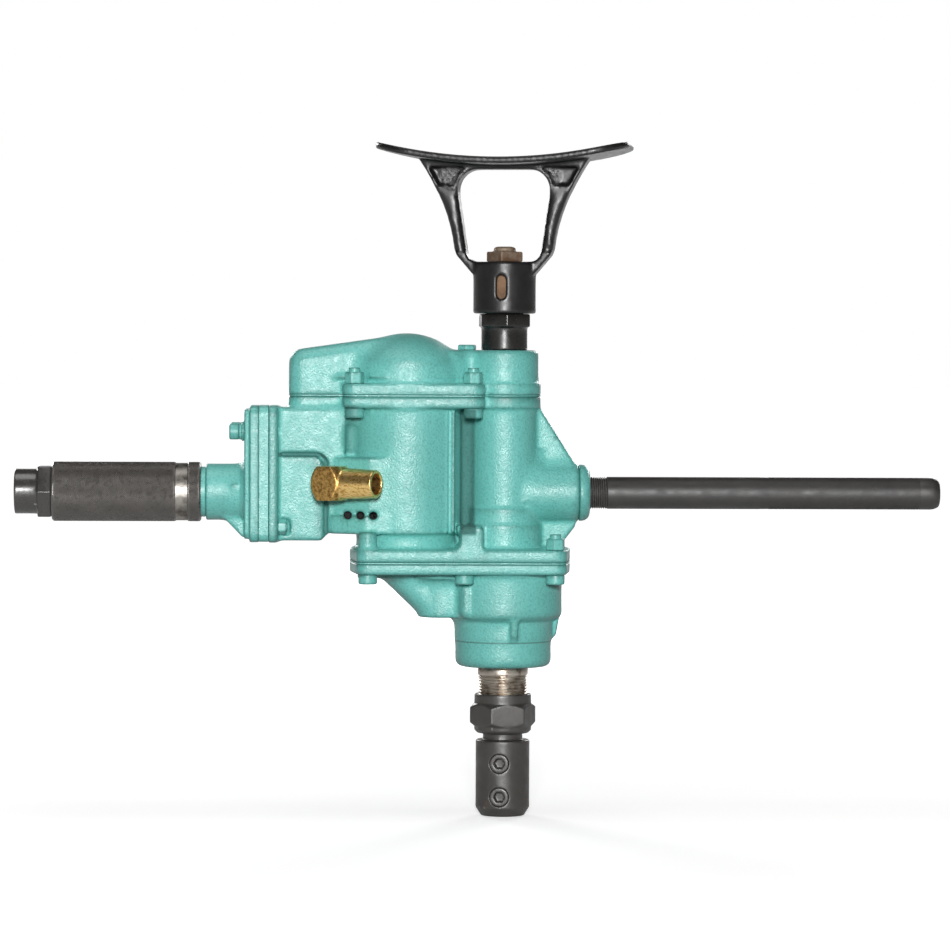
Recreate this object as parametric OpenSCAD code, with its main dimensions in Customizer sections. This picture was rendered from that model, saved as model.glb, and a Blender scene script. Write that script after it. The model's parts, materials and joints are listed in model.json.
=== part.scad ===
// Heavy reversible air drill for boring wood: a vertical vane motor beside a vertical spindle, a
// twist throttle handle on the left, a pipe handle on the right and a breast plate on top.
// Millimetres. The origin is the centre of the chuck's mouth, +Z up along the spindle,
// +X towards the pipe handle, -Y towards the operator's view of the chuck screws.

/* [Chuck] */
// Outside diameter of the chuck
chuck_d = 45; // [42:0.5:48]
// Length of the chuck body below its neck
chuck_l = 63.4; // [58:0.2:70]
// Height of the chamfer round the mouth
chuck_chamfer_h = 7; // [4:0.5:9]
// Depth of the chamfer round the mouth
chuck_chamfer_w = 4.5; // [2:0.5:6]
// Diameter of the bit socket
bit_d = 19.1; // [16:0.1:21]
// Depth of the bit socket
bit_depth = 56; // [50:0.5:57]
// Diameter of the neck above the chuck body
neck_d = 33; // [31:0.5:34]
// Length of neck that shows below the lock nut
neck_l = 5.6; // [4:0.2:8]
// Diameter of the two set screws
set_screw_d = 16; // [14:0.5:17]
// Length of a set screw
set_screw_l = 11.5; // [9:0.5:12]
// Height of the lower set screw above the mouth
set_screw_z1 = 16.7; // [15:0.2:19]
// Height of the upper set screw above the mouth
set_screw_z2 = 44.6; // [40:0.2:47]
// Width across the flats of the set screws' hexagon sockets
set_screw_key = 8; // [6:0.5:9]
// Turn of the chuck at rest
chuck_turn = -10; // [-30:1:30]

/* [Lock nut] */
// Diameter of the round collars of the lock nut
nut_collar_d = 47.5; // [46:0.5:49]
// Height of the lower collar
nut_low_h = 6; // [5:0.5:8]
// Height of the hexagon
nut_hex_h = 18.4; // [15:0.2:22]
// Height of the upper collar
nut_top_h = 8.3; // [6:0.1:10]
// Width across the flats of the hexagon
nut_hex_af = 48.5; // [47.5:0.5:52]
// Turn of the hexagon at rest
nut_turn = 7.5; // [-30:0.5:30]
// Thickness of the chuck's flange inside the nut
flange_t = 5; // [4:0.5:6]

/* [Spindle] */
// Diameter of the threaded lower end
spindle_d = 41.7; // [40:0.1:43]
// Length of spindle that shows between the lock nut and the nose
spindle_show = 23; // [18:0.5:28]
// Diameter of the taper socket at its mouth
taper_d = 23.8; // [22:0.1:25]
// Length of the chuck's taper shank
taper_l = 72; // [65:1:75]
// Radius lost along each millimetre of the taper
taper_slope = 0.0251; // [0.02:0.0001:0.03]
// Diameter of the gear seat
gear_seat_d = 30; // [28:0.5:32]
// Diameter of the upper journal
top_journal_d = 20; // [18:0.5:22]

/* [Gear case] */
// Height of the case from the nose to the joint face
case_h = 88.1; // [86:0.1:91]
// Diameter of the nose
nose_d = 80; // [78:0.5:84]
// Height of the nose's smooth lower band
nose_h = 21.3; // [18:0.1:24]
// Radius of the nose's lower edge
nose_round = 6; // [3:0.5:8]
// Diameter of the band above the nose
upper_nose_d = 81.5; // [80:0.5:86]
// Height of the step below the gear chamber, measured from the nose
chamber_step = 42.3; // [40:0.1:44]
// Outside diameter of the gear chamber
chamber_d = 98; // [96:0.5:102]
// Thickness of the case's joint flange
case_flange_t = 9.5; // [8.5:0.5:12]
// Wall of the idler boss
idler_wall = 5; // [4:0.5:7]
// Floor of the idler boss
idler_floor = 4.5; // [3:0.5:6]
// Width of the nose's stiffening ribs
nose_rib_w = 6.5; // [5:0.5:9]
// Diameter of the half-round bosses on the gear chamber
chamber_boss_d = 11; // [9:0.5:13]
// Depth of the boss under the motor's pinion, below the flange
pinion_boss_h = 5; // [3:0.5:7]

/* [Gears] */
// Module of the spindle stage
spindle_module = 1.75; // [1.7:0.01:1.78]
// Teeth of the spindle gear
spindle_teeth = 46; // [45:1:46]
// Teeth of the idler pinion
idler_pinion_teeth = 14; // [13:1:14]
// Module of the motor stage
motor_module = 1.5; // [1.45:0.01:1.52]
// Teeth of the idler gear
idler_gear_teeth = 30; // [29:1:30]
// Teeth of the motor pinion
motor_pinion_teeth = 12; // [11:1:12]
// Sideways offset of the idler shaft from the line of the motor and spindle axes
idler_offset = 10.5; // [8:0.5:12]
// Face width of the spindle gear
spindle_gear_t = 16; // [14:0.5:16.5]
// Face width of the idler gear
idler_gear_t = 9; // [8:0.5:9.5]
// Thinning of each tooth, which gives the backlash
backlash = 0.25; // [0.2:0.01:0.4]

/* [Bearings] */
// Outside diameter of the spindle's lower bearing
low_bearing_d = 62; // [60:0.5:63]
// Bore of the spindle's lower bearing
low_bearing_bore = 35; // [34:0.5:36]
// Width of the spindle's lower bearing
low_bearing_w = 14; // [12:0.5:15]
// Outside diameter of the spindle's upper bearing
top_bearing_d = 42; // [40:0.5:43]
// Width of the spindle's upper bearing
top_bearing_w = 12; // [10:0.5:13]
// Outside diameter of the rotor's bearings
rotor_bearing_d = 35; // [33:0.5:36]
// Bore of the rotor's bearings
rotor_bearing_bore = 15; // [14:0.5:16]
// Width of the rotor's bearings
rotor_bearing_w = 11; // [9:0.5:11.5]
// Outside diameter of the spindle seal
seal_d = 56; // [54:0.5:57]
// Height of the spindle seal
seal_h = 7.5; // [6:0.5:8]

/* [Motor] */
// Outside diameter of the motor cylinder
cylinder_d = 74; // [72:0.5:76]
// Bore of the motor cylinder
cylinder_bore = 60.6; // [60.2:0.1:62]
// Length of the motor cylinder
cylinder_l = 74; // [70:0.5:78]
// Diameter of the rotor
rotor_d = 54; // [50:0.5:54.2]
// Offset of the cylinder's bore from the rotor's axis
rotor_offset = 3; // [2:0.1:3.1]
// Number of vanes
vanes = 5; // [4:1:7]
// Thickness of a vane
vane_t = 3; // [2.5:0.1:4]
// Radial depth of a vane
vane_w = 12; // [10:0.5:13]
// Thickness of the motor's end plates
end_plate_t = 14; // [12.5:0.5:16]

/* [Housing] */
// Height of the housing between its two joint faces
housing_h = 137.6; // [134:0.2:142]
// Outside diameter of the motor barrel
barrel_d = 92; // [90:0.5:96]
// Height of the narrower neck below the barrel, from the joint face
barrel_neck_h = 23.2; // [21:0.2:26]
// Inset of that neck from the barrel
barrel_neck_in = 4.5; // [3:0.5:6]
// Outside diameter of the spindle column
column_d = 54; // [52:0.5:58]
// Growth in radius of the ring round the foot of the column
foot_ring_t = 4.5; // [3:0.5:6]
// Height of the ring and of the screw bosses above the lower joint face
foot_ring_h = 30.5; // [28:0.5:33]
// Growth in radius of the narrow band above the ring
band_t = 2.5; // [1.5:0.5:3]
// Height of the band's top above the lower joint face
band_h = 44.2; // [41:0.2:48]
// Thickness of the wall between the barrel and the column
wall_t = 12.6; // [10:0.2:16]
// Radius of the hollow between that wall and the column
hollow_r = 7; // [5:0.5:9]
// Width of the upright rib on the barrel's flank
rib_w = 3.4; // [2.6:0.2:4.6]
// Width of the upright bead beside the rib
bead_w = 2.3; // [1.8:0.1:3]
// Distance of the rib's middle from the motor axis
rib_x = 37.9; // [36:0.1:39]
// Half depth of the housing over its two ribs
rib_y = 33.6; // [32.5:0.1:36]
// Thickness of the lower flange
low_flange_t = 10.5; // [9:0.1:13]
// Thickness of the upper flange
top_flange_t = 10; // [8:0.5:13]
// Height of the handles' axis above the lower joint face
handle_h = 56.7; // [54:0.1:60]
// Outside diameter of the side boss
side_boss_d = 47; // [44:0.5:50]
// Reach of the side boss from the spindle axis
side_boss_x = 62.5; // [60:0.5:68]
// Thickness of the webs above and below the side boss
web_t = 8; // [6:0.5:12]
// Half depth of the air chest
chest_y = 26.5; // [24:0.5:29]
// Distance from the motor axis to the chest's mounting face
chest_reach = 114.7; // [112:0.2:118]
// Height of the chest's underside above the lower joint face
chest_low = 17.2; // [15:0.2:20]
// Height of the chest's top above the lower joint face
chest_top = 127.2; // [125:0.2:129]
// Wall of the chest and its cavity
chest_wall = 9.5; // [8:0.5:12]
// Radius of the chest's long edges
chest_round = 3; // [2:0.5:3.4]
// Distance of the walls between the chest and the barrel from the plane through the two axes
chest_neck_y = 17.5; // [15:0.5:22]
// Width of the groove round the chest's lower pad
pad_groove_w = 3.6; // [2.5:0.1:5]
// Depth of that groove
pad_groove_t = 4; // [2:0.5:5]
// Height of the exhaust block's top above the lower joint face
exhaust_top_h = 86.6; // [84:0.2:90]
// Height of the exhaust block's foot, where the small holes are
exhaust_low_h = 40.7; // [38:0.1:43]
// Diameter of the three small exhaust holes
exhaust_hole_d = 6.5; // [5:0.5:7]

/* [Cap] */
// Thickness of the cap's joint flange
cap_flange_t = 10; // [8:0.2:12]
// Height of the dome above the joint face
dome_h = 52; // [49:0.2:56]
// Spherical radius of the dome's crown
crown_r = 58; // [54:1:66]
// Radius of the dome's shoulder
shoulder_r = 14; // [8:0.5:18]
// Radius of the bridge between the dome and the stem boss
bridge_r = 26; // [23:0.5:28]
// Distance of the bridge's axis from the motor axis
bridge_x = 28.5; // [26:0.5:31]
// Radius of the bridge's upper edge
bridge_round = 8; // [4:0.5:10]
// Height of the stem boss above the joint face
stem_boss_h = 37.8; // [35:0.2:41]
// Diameter of the stem boss
stem_boss_d = 57; // [54:0.5:60]
// Height of the duct's outer end above the joint face
duct_h = 38.2; // [35:0.2:41]
// Radius of the duct's edges
duct_round = 12; // [8:0.5:14]
// Half depth of the duct
duct_y = 23; // [21:0.5:24]
// Reach of the duct from the motor axis
duct_reach = 98; // [94:0.5:102]
// Thickness of the cap's walls
cap_wall = 6; // [5:0.5:8]
// Diameter of the oil plug's hexagon across the flats
plug_af = 14; // [12:0.5:16]
// Height of the oil plug's head
plug_h = 4.4; // [3:0.2:6]

/* [Throttle handle] */
// Height of the handle's mounting flange
plate_h = 113; // [110:0.5:116]
// Half depth of the handle's mounting flange
plate_y = 37; // [36:0.5:40]
// Distance of the handle's screws from the edge of its flange
handle_bolt_in = 8.5; // [8:0.5:11]
// Height of the handle's upper screws above the foot of its flange
handle_screws_h = 91.8; // [85:0.2:96]
// Height of the handle's lower studs above the foot of its flange
handle_studs_h = 13.1; // [11:0.1:18]
// Thickness of the chest's own flange
chest_flange_t = 8.1; // [7:0.1:10]
// Thickness of the port plate
port_plate_t = 7.4; // [6:0.1:9]
// Thickness of the handle base's flange
base_flange_t = 8; // [7:0.5:11]
// Thickness of the smaller pad on the handle base's flange
base_pad_t = 4.4; // [2:0.2:6]
// Inset of that pad from the flange
base_pad_in = 3; // [2:0.5:4]
// Diameter of the handle's neck
throat_d = 47; // [45:0.5:50]
// Length of the handle's neck beyond its flange
throat_l = 36.5; // [32:0.5:40]
// Outside diameter of the throttle sleeve
sleeve_d = 49.5; // [47:0.5:53]
// Length of the throttle sleeve
sleeve_l = 123.5; // [115:0.5:130]
// Length of the narrow ring at the sleeve's inner end
sleeve_ring_l = 4; // [3:0.5:6]
// Diameter of the narrow ring at the sleeve's inner end
sleeve_ring_d = 41.7; // [40.5:0.1:44]
// Width of the sleeve's bare groove
groove_w = 10; // [7:0.5:13]
// Depth of the sleeve's bare groove
groove_t = 0.8; // [0.5:0.1:1.5]
// Outside diameter of the fixed tube inside the sleeve
core_d = 36; // [34:0.5:37]
// Outside diameter of the rotary valve
valve_d = 26; // [24:0.5:27]
// Bore of the rotary valve
valve_bore = 17; // [15:0.5:18]
// Turn of the throttle to either side
throttle_swing = 30; // [20:1:35]
// Diameter of the drive pin
drive_pin_d = 5; // [4:0.5:6]
// Width across the flats of the inlet bushing
inlet_af = 42; // [40:0.5:44]
// Length of the inlet bushing's hexagon
inlet_hex_l = 11.5; // [9:0.5:14]
// Diameter of the inlet bushing's round end
inlet_d = 37.5; // [34:0.5:39]
// Length of the inlet bushing's round end
inlet_l = 19.3; // [16:0.1:23]
// Diameter of the air inlet's pipe thread
inlet_bore = 18.6; // [17:0.1:21]
// Depth of the air inlet's pipe thread
inlet_depth = 20; // [16:0.5:24]

/* [Pipe handle] */
// Diameter of the pipe
pipe_d = 26.7; // [25:0.1:28]
// Length of pipe that shows
pipe_show = 292.8; // [280:0.2:305]
// Length of pipe inside the side boss
pipe_in = 34; // [30:0.5:38]
// Wall of the pipe
pipe_wall = 2.9; // [2.5:0.1:4]
// Thickness of the ring on the side boss
boss_ring_t = 9.2; // [7:0.1:12]
// Diameter of the ring on the side boss
boss_ring_d = 47; // [44:0.5:48]
// Radius of that ring's outer edge
boss_ring_round = 6.5; // [3:0.5:8]

/* [Elbow] */
// Height of the elbow's axis above the lower joint face
elbow_h = 65.6; // [63:0.2:68]
// Distance from the motor axis to the elbow's turn
elbow_x = 62.6; // [61:0.2:65]
// Distance of the elbow's turn in front of the motor axis
elbow_y = 48.3; // [46:0.1:50]
// Turn of the outlet towards the front
elbow_turn = 29; // [25:1:33]
// Size of the square body
elbow_body = 28; // [27:0.5:30]
// Length of the square body to each side of the turn
elbow_half_l = 12; // [11:0.5:13.5]
// Length from the turn to the outlet's mouth
elbow_out = 42.3; // [40:0.1:46]
// Diameter of the outlet at its root
elbow_root_d = 27; // [25:0.5:28]
// Diameter of the outlet at its mouth
elbow_mouth_d = 23; // [22:0.2:25]
// Bore of the elbow
elbow_bore = 17.6; // [15:0.2:19]
// Diameter of the elbow's threaded end in the housing
elbow_thread_d = 21; // [20:0.5:22]

/* [Stem] */
// Diameter of the stem's shaft
stem_d = 38.4; // [36:0.2:40]
// Length of shaft that shows below the hexagon
stem_show = 19.2; // [15:0.2:24]
// Width across the flats of the stem's hexagon
stem_af = 40.4; // [39.5:0.1:43]
// Height of the stem's hexagon
stem_hex_h = 10.9; // [8:0.1:14]
// Length of the stem in the boss
stem_in = 26; // [22:0.5:30]
// Diameter of the spigot that the breast plate turns on
spigot_d = 28; // [26:0.5:29]
// Turn of the stem's hexagon
stem_turn = 4; // [-15:1:15]
// Side of the square head on top of the hub
square_w = 22.1; // [20:0.1:24]
// Height of the square head
square_h = 8.4; // [7:0.1:11]
// Turn of the square head
square_turn = 33; // [0:1:90]
// Diameter of the round top of the square head
square_top_d = 18.3; // [16:0.1:19.5]
// Height of the round top of the square head
square_top_h = 4.2; // [3:0.1:6]

/* [Breast plate] */
// Length of the breast plate
breast_w = 211; // [200:1:222]
// Depth of the breast plate
breast_y = 100; // [90:1:112]
// Height of the plate's middle above the hub's foot
breast_h = 128.8; // [122:0.2:136]
// Rise of the plate's tips above its middle
breast_rise = 13.5; // [10:0.5:17]
// Thickness of the breast plate
breast_t = 5.6; // [4.5:0.1:7]
// Corner radius of the breast plate in plan
breast_corner = 30; // [15:1:40]
// Diameter of the hub
hub_d = 52.3; // [50:0.1:56]
// Height of the hub
hub_h = 43.2; // [40:0.2:47]
// Depth of the legs from front to back
leg_y = 24; // [20:1:30]
// Outside width of the legs at the hub's top
leg_low_w = 80; // [76:0.5:84]
// Outside width of the legs below the plate
leg_top_w = 128; // [122:1:134]
// Width of the window at the hub's top
window_low_w = 62; // [58:0.5:65]
// Width of the window at its widest, below the plate
window_top_w = 77; // [72:0.5:80]
// Thickness of the leg's rim round its pockets
leg_rim = 3.4; // [2.6:0.1:4]
// Depth of the leg's pockets on each side
leg_pocket = 8; // [5:0.5:9]
// Width of the slot in the hub
slot_w = 7.5; // [6:0.5:9]
// Height of the slot in the hub
slot_h = 20; // [16:0.5:24]
// Outside diameter of the bush in the hub
bush_d = 36; // [34:0.5:38]
// Turn of the breast plate at rest
plate_turn = -9; // [-45:1:45]

/* [Fasteners] */
// Diameter of the flange screws
screw_d = 9.5; // [8:0.1:10]
// Diameter of the flange screws' heads
head_d = 15.6; // [14:0.2:16]
// Height of the flange screws' heads
head_h = 8; // [6:0.5:9.5]
// Width across the flats of the flange nuts
flange_nut_af = 14.3; // [13:0.1:16]
// Height of the flange nuts
flange_nut_h = 9.6; // [7:0.2:11]
// Length of thread that stands out of a nut
thread_end = 3.5; // [2:0.5:5]
// Width across the flats of the flange screws' sockets
key_af = 7.9; // [6:0.1:8.5]
// Diameter of the handle's screws and studs
handle_screw_d = 7.6; // [6.5:0.1:8.5]
// Diameter of the handle screws' heads
handle_head_d = 13.3; // [12.5:0.1:14]
// Width across the flats of the studs' nuts
handle_nut_af = 11.8; // [11:0.1:13]
// Height of the studs' nuts
handle_nut_h = 7; // [5:0.5:8]
// Distance of the gear case's screws from the plane through the two axes
case_bolt_y = 46; // [45:0.5:48]
// Distance of the cap's screws from the plane through the two axes
cap_bolt_y = 38; // [37:0.5:40]
// Thickness of the joint gaskets
gasket_t = 0.8; // [0.5:0.1:1.5]

/* [Fits] */
// Radial clearance of fixed round seats
seat_gap = 0.05; // [0.02:0.01:0.1]
// Radial clearance of shafts that turn
run_gap = 0.06; // [0.03:0.01:0.1]
// Gap between faces that slide past each other
face_gap = 0.2; // [0.1:0.05:0.3]

/* [Hidden] */
$fn = 64;
teal = [0.43, 0.78, 0.71];
black = [0.13, 0.13, 0.13];
steel = [0.55, 0.53, 0.50];
dark_steel = [0.25, 0.24, 0.23];
brass = [0.72, 0.55, 0.22];
bronze = [0.62, 0.44, 0.26];
rust = [0.36, 0.27, 0.20];

// Heights along the spindle
neck_z = chuck_l;
nut_z = chuck_l + neck_l;
nut_h = nut_low_h + nut_hex_h + nut_top_h;
flange_z = nut_z + 7;
spindle_z0 = flange_z + flange_t;
nose_z = nut_z + nut_h + spindle_show;
joint1_z = nose_z + case_h;
joint2_z = joint1_z + housing_h;
stem_boss_z = joint2_z + stem_boss_h;
stem_hex_z = stem_boss_z + stem_show;
hub_z = stem_hex_z + stem_hex_h;
hub_top_z = hub_z + hub_h;
handle_z = joint1_z + handle_h;

// Plan of the gear train: the spindle is at x = 0, the motor on the x axis to the left
addendum = 0.8;
dedendum = 1;
pressure = 20;
idler_reach = (spindle_teeth + idler_pinion_teeth) * spindle_module / 2;
motor_span = (idler_gear_teeth + motor_pinion_teeth) * motor_module / 2;
idler_x = -sqrt(pow(idler_reach, 2) - pow(idler_offset, 2));
idler_y = -idler_offset;
motor_x = idler_x - sqrt(pow(motor_span, 2) - pow(idler_offset, 2));
spindle_gear_r = spindle_teeth * spindle_module / 2 + addendum * spindle_module;
idler_pinion_r = idler_pinion_teeth * spindle_module / 2 + addendum * spindle_module;
idler_gear_r = idler_gear_teeth * motor_module / 2 + addendum * motor_module;
motor_pinion_r = motor_pinion_teeth * motor_module / 2 + addendum * motor_module;
gear_room = 1.4;
pinion_boss_r = motor_pinion_r + 18;

// Heights of the gear train, taken down from the joint face
idler_gear_z = joint1_z - 2 - idler_gear_t;
spindle_gear_z = idler_gear_z - 3 - spindle_gear_t;
chamber_floor_z = spindle_gear_z - 3;
idler_seat_z = chamber_floor_z - 9;
idler_foot_z = idler_seat_z - idler_floor;
idler_journal_d = 13;
idler_bush_d = 20;
idler_bush_t = 9;

// Spindle bearings
low_web = 4;
low_bearing_z = nose_z + seal_h + 0.8 + low_web;
ring_t = 1.5;
ring_lip = 1.4;
key_w = 8;
key_in = 4;
top_bearing_z = joint1_z + 4;

// Motor heights
motor_floor_z = joint1_z + gasket_t / 2 + 30;
cylinder_z = motor_floor_z + end_plate_t;
top_plate_z = cylinder_z + cylinder_l;
motor_top_z = top_plate_z + end_plate_t;
rotor_shaft_d = 10;
low_rotor_bearing_z = motor_floor_z;
top_rotor_bearing_z = motor_top_z - rotor_bearing_w;

// Left side, measured from the motor axis
chest_x = motor_x - chest_reach;
port_plate_x = chest_x - port_plate_t;
base_x = port_plate_x - base_flange_t;
throat_x = base_x - throat_l;
sleeve_x = throat_x - sleeve_ring_l - sleeve_l;
inlet_hex_x = sleeve_x - face_gap - inlet_hex_l;
inlet_x = inlet_hex_x - inlet_l;
plate_z = joint1_z + chest_top + 1.5 - plate_h;
valve_x0 = sleeve_x + 30;
// The slot lets the pin's side clear its ends by 2 degrees
pin_slot_turn = throttle_swing + 2 + asin(drive_pin_d / core_d * 1.4);
drive_pin_x = sleeve_x + 52;
boss_face_x = side_boss_x + boss_ring_t;

// Bolt circles
barrel_r = barrel_d / 2;
column_r = column_d / 2;
cap_bolts = [for (x = [motor_x - barrel_r + 2.2, -column_d / 2], s = [-1, 1]) [x, s * cap_bolt_y]];
outer_blind_x = motor_x - barrel_r + 13.6;
inner_blind_x = -34;
case_bolts_blind = [for (x = [outer_blind_x, inner_blind_x], s = [-1, 1]) [x, s * case_bolt_y]];
case_bolts_nut = [for (s = [-1, 1]) [41, s * case_bolt_y]];
case_bolts_all = concat(case_bolts_blind, case_bolts_nut);
screw_hole_d = screw_d + 2 * seat_gap;
handle_hole_d = handle_screw_d + 2 * seat_gap;
lug_r = head_d / 2 + 1.8;
flange_y = case_bolt_y + lug_r;
handle_screws_z = plate_z + handle_screws_h;
handle_studs_z = plate_z + handle_studs_h;
handle_bolt_y = plate_y - handle_bolt_in;
pad_face_x = base_x - base_pad_t;

// Plan of the housing between the barrel and the column
wall_y = wall_t / 2;
hollow_x = -sqrt(pow(column_r + hollow_r, 2) - pow(wall_y + hollow_r, 2));
hollow_y = column_r * (wall_y + hollow_r) / (column_r + hollow_r);

// Lower pad of the chest: where it ends, how far it reaches below and up the chest
pad_end_x = motor_x - 68;
chest_step_h = 6.5;
pad_top_h = 73.5;
plug_x = motor_x + 50.1;
collar_t = 2.4;
washer_t = 2;

// Turn about the upright axis that points +X into the housing along the elbow's threaded end
elbow_in_turn = 90 - elbow_turn;

// Plan of the exhaust block: a flat that faces the elbow, then a face flush with the barrel
exhaust_edge = [motor_x - 31.5, -43];
exhaust_flat_l = 36.2;

// Shared shapes

function polar(r, a) = [r * cos(a), r * sin(a)];

function mix(a, b, t) = a + (b - a) * t;

// Involute of a circle, in degrees
function involute(a) = tan(a) * 180 / PI - a;

// Half the angle that a tooth fills at radius r
function half_tooth(r, teeth, m) =
    let (pitch_r = teeth * m / 2)
    let (base_r = pitch_r * cos(pressure))
    90 / teeth - backlash / pitch_r * 45 / PI
        + involute(pressure) - involute(acos(min(1, base_r / r)));

// Outline of a spur gear, with four points up each flank
function gear_points(teeth, m) =
    let (pitch_r = teeth * m / 2)
    let (tip_r = pitch_r + addendum * m)
    let (root_r = pitch_r - dedendum * m)
    let (start_r = max(root_r + 0.05, pitch_r * cos(pressure)))
    let (flank = [for (k = [0 : 3]) mix(start_r, tip_r, k / 3)])
    [for (t = [0 : teeth - 1], side = [-1, 1], k = [-1 : 3])
        let (i = side < 0 ? k : 2 - k)
        let (r = i < 0 ? root_r : flank[i])
        polar(r, 360 * t / teeth + side * half_tooth(i < 0 ? start_r : r, teeth, m))];

// Quadratic curve through a, pulled towards b, ending at c
function curve(a, b, c, n) = [for (i = [0 : n]) mix(mix(a, b, i / n), mix(b, c, i / n), i / n)];

module up(z) {
    translate([0, 0, z]) children();
}

module tube(d, bore, h, z = 0) {
    up(z) difference() {
        cylinder(d = d, h = h);
        up(-1) cylinder(d = bore, h = h + 2);
    }
}

// Children's Z axis laid along +X, from x, at height z
module along_x(x, z = handle_z) {
    translate([x, 0, z]) rotate([0, 90, 0]) children();
}

// Children's Z axis laid along -X, from x, at height z
module along_minus_x(x, z = handle_z) {
    translate([x, 0, z]) rotate([0, -90, 0]) children();
}

module at(points, z = 0) {
    for (p = points) translate([p[0], p[1], z]) children();
}

module hexagon(af, h) {
    cylinder(d = af / cos(30), h = h, $fn = 6);
}

// Hexagon with its corners turned off at the top
module nut_blank(af, h) {
    intersection() {
        hexagon(af, h);
        union() {
            cylinder(d = af * 1.13, h = h - af * 0.06);
            up(h - af * 0.06) cylinder(d1 = af * 1.13, d2 = af * 0.98, h = af * 0.06);
        }
    }
}

module hex_nut(af, h, bore) {
    difference() {
        nut_blank(af, h);
        up(-1) cylinder(d = bore, h = h + 2);
    }
}

// Socket head screw: the head below z = 0, the shank above
module socket_screw(shank_l, shank_d = screw_d, wide = head_d) {
    edge = 0.9;
    difference() {
        union() {
            up(edge - head_h) cylinder(d = wide, h = head_h - edge);
            up(-head_h) cylinder(d1 = wide - 2 * edge, d2 = wide, h = edge);
            cylinder(d = shank_d, h = shank_l);
        }
        up(-head_h - 1) hexagon(key_af * wide / head_d, head_h * 0.55 + 1);
    }
}

module rounded_box(x0, x1, y, z0, z1, r) {
    translate([(x0 + x1) / 2, 0, z0]) linear_extrude(z1 - z0)
        offset(r) square([x1 - x0 - 2 * r, 2 * (y - r)], center = true);
}

// Flat plate across the handle's axis, from x0 to x1
module side_plate(x0, x1, y, z0, z1, r) {
    translate([x0, 0, (z0 + z1) / 2]) rotate([90, 0, 90]) linear_extrude(x1 - x0)
        offset(r) square([2 * (y - r), z1 - z0 - 2 * r], center = true);
}

// Triangular web in the XZ plane, from three [x, z] corners
module web(points, t, y = 0) {
    translate([0, y + t / 2, 0]) rotate([90, 0, 0]) linear_extrude(t) polygon(points);
}

// Box from its two corners
module box(low, high) {
    translate(low) cube(high - low);
}

// Outer race with its balls, and the groove the balls run in
module race_outer(d, bore, w, balls) {
    pitch = (d + bore) / 4;
    ball_d = (d - bore) * 0.3;
    difference() {
        tube(d - 2 * seat_gap, pitch * 2 + ball_d * 0.55, w);
        up(w / 2) rotate_extrude() translate([pitch, 0]) circle(d = ball_d + 2 * seat_gap);
    }
    for (i = [0 : balls - 1])
        translate(concat(polar(pitch, i * 360 / balls), w / 2)) sphere(d = ball_d);
}

module race_inner(d, bore, w) {
    pitch = (d + bore) / 4;
    ball_d = (d - bore) * 0.3;
    difference() {
        tube(pitch * 2 - ball_d * 0.55, bore, w);
        up(w / 2) rotate_extrude() translate([pitch, 0]) circle(d = ball_d + 2 * face_gap);
    }
}

module at_motor(z = 0) {
    translate([motor_x, 0, z]) children();
}

module at_idler(z = 0) {
    translate([idler_x, idler_y, z]) children();
}

// Castings

module low_outline() {
    hull() {
        circle(d = chamber_d + 13);
        translate([motor_x, 0]) circle(d = barrel_d + 2);
        at(case_bolts_blind) circle(lug_r);
        at(case_bolts_nut) circle(lug_r);
    }
}

module top_outline() {
    hull() {
        at(cap_bolts) circle(lug_r);
        translate([motor_x, 0]) circle(d = barrel_d);
    }
    circle(d = column_d + 7);
    duct_x = motor_x - duct_reach + duct_round;
    translate([duct_x, -duct_y]) square([motor_x - duct_x, 2 * duct_y]);
    for (s = [-1, 1]) translate([duct_x, s * (duct_y - duct_round)]) circle(duct_round);
    translate([duct_x - duct_round, duct_round - duct_y])
        square([2 * duct_round, 2 * (duct_y - duct_round)]);
}

module gear_room_outline() {
    circle(spindle_gear_r + gear_room);
    translate([idler_x, idler_y]) circle(idler_pinion_r + gear_room);
}

module at_elbow() {
    translate([motor_x - elbow_x, -elbow_y, joint1_z + elbow_h]) children();
}

module chest_solid() {
    z0 = joint1_z + chest_low;
    z1 = joint1_z + chest_top;
    difference() {
        union() {
            side_plate(chest_x, motor_x - barrel_r - 5, chest_y, z0, z1, chest_round);
            side_plate(chest_x + 10, motor_x - barrel_r / 2, chest_neck_y, z0 + chest_step_h, z1 - 1, 6);
        }
        // The underside rises at the end of the lower pad
        web([[pad_end_x - 4, z0 - 1], [pad_end_x + 3.5, z0 + chest_step_h], [motor_x, z0 + chest_step_h],
             [motor_x, z0 - 1]], 2 * chest_y + 2);
        // Groove over the lower pad and down its end
        for (s = [-1, 1]) translate([0, s * (chest_y - pad_groove_t / 2 + 0.5), 0]) {
            web([[chest_x, z0 + pad_top_h], [chest_x, z0 + pad_top_h - pad_groove_w],
                 [pad_end_x - 6, z0 + pad_top_h - pad_groove_w],
                 [pad_end_x - 1, z0 + pad_top_h - pad_groove_w - 5], [pad_end_x - 1, z0 - 1],
                 [pad_end_x - 1 + pad_groove_w, z0 - 1],
                 [pad_end_x - 1 + pad_groove_w, z0 + pad_top_h - 7], [pad_end_x - 6, z0 + pad_top_h]],
                pad_groove_t + 1);
        }
    }
}

// Block round the elbow's seat, from height low to high, pushed out by out
module exhaust_block(low, high, out = 0) {
    flat_end = exhaust_edge - exhaust_flat_l * [cos(elbow_turn), -sin(elbow_turn)];
    up(low) linear_extrude(high - low)
        polygon([flat_end + [0, -out], exhaust_edge + [-out, -out / 2],
                 [motor_x - 14, exhaust_edge[1] - 0.8], [motor_x - 14, 0], [flat_end[0], 0]]);
}

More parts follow.
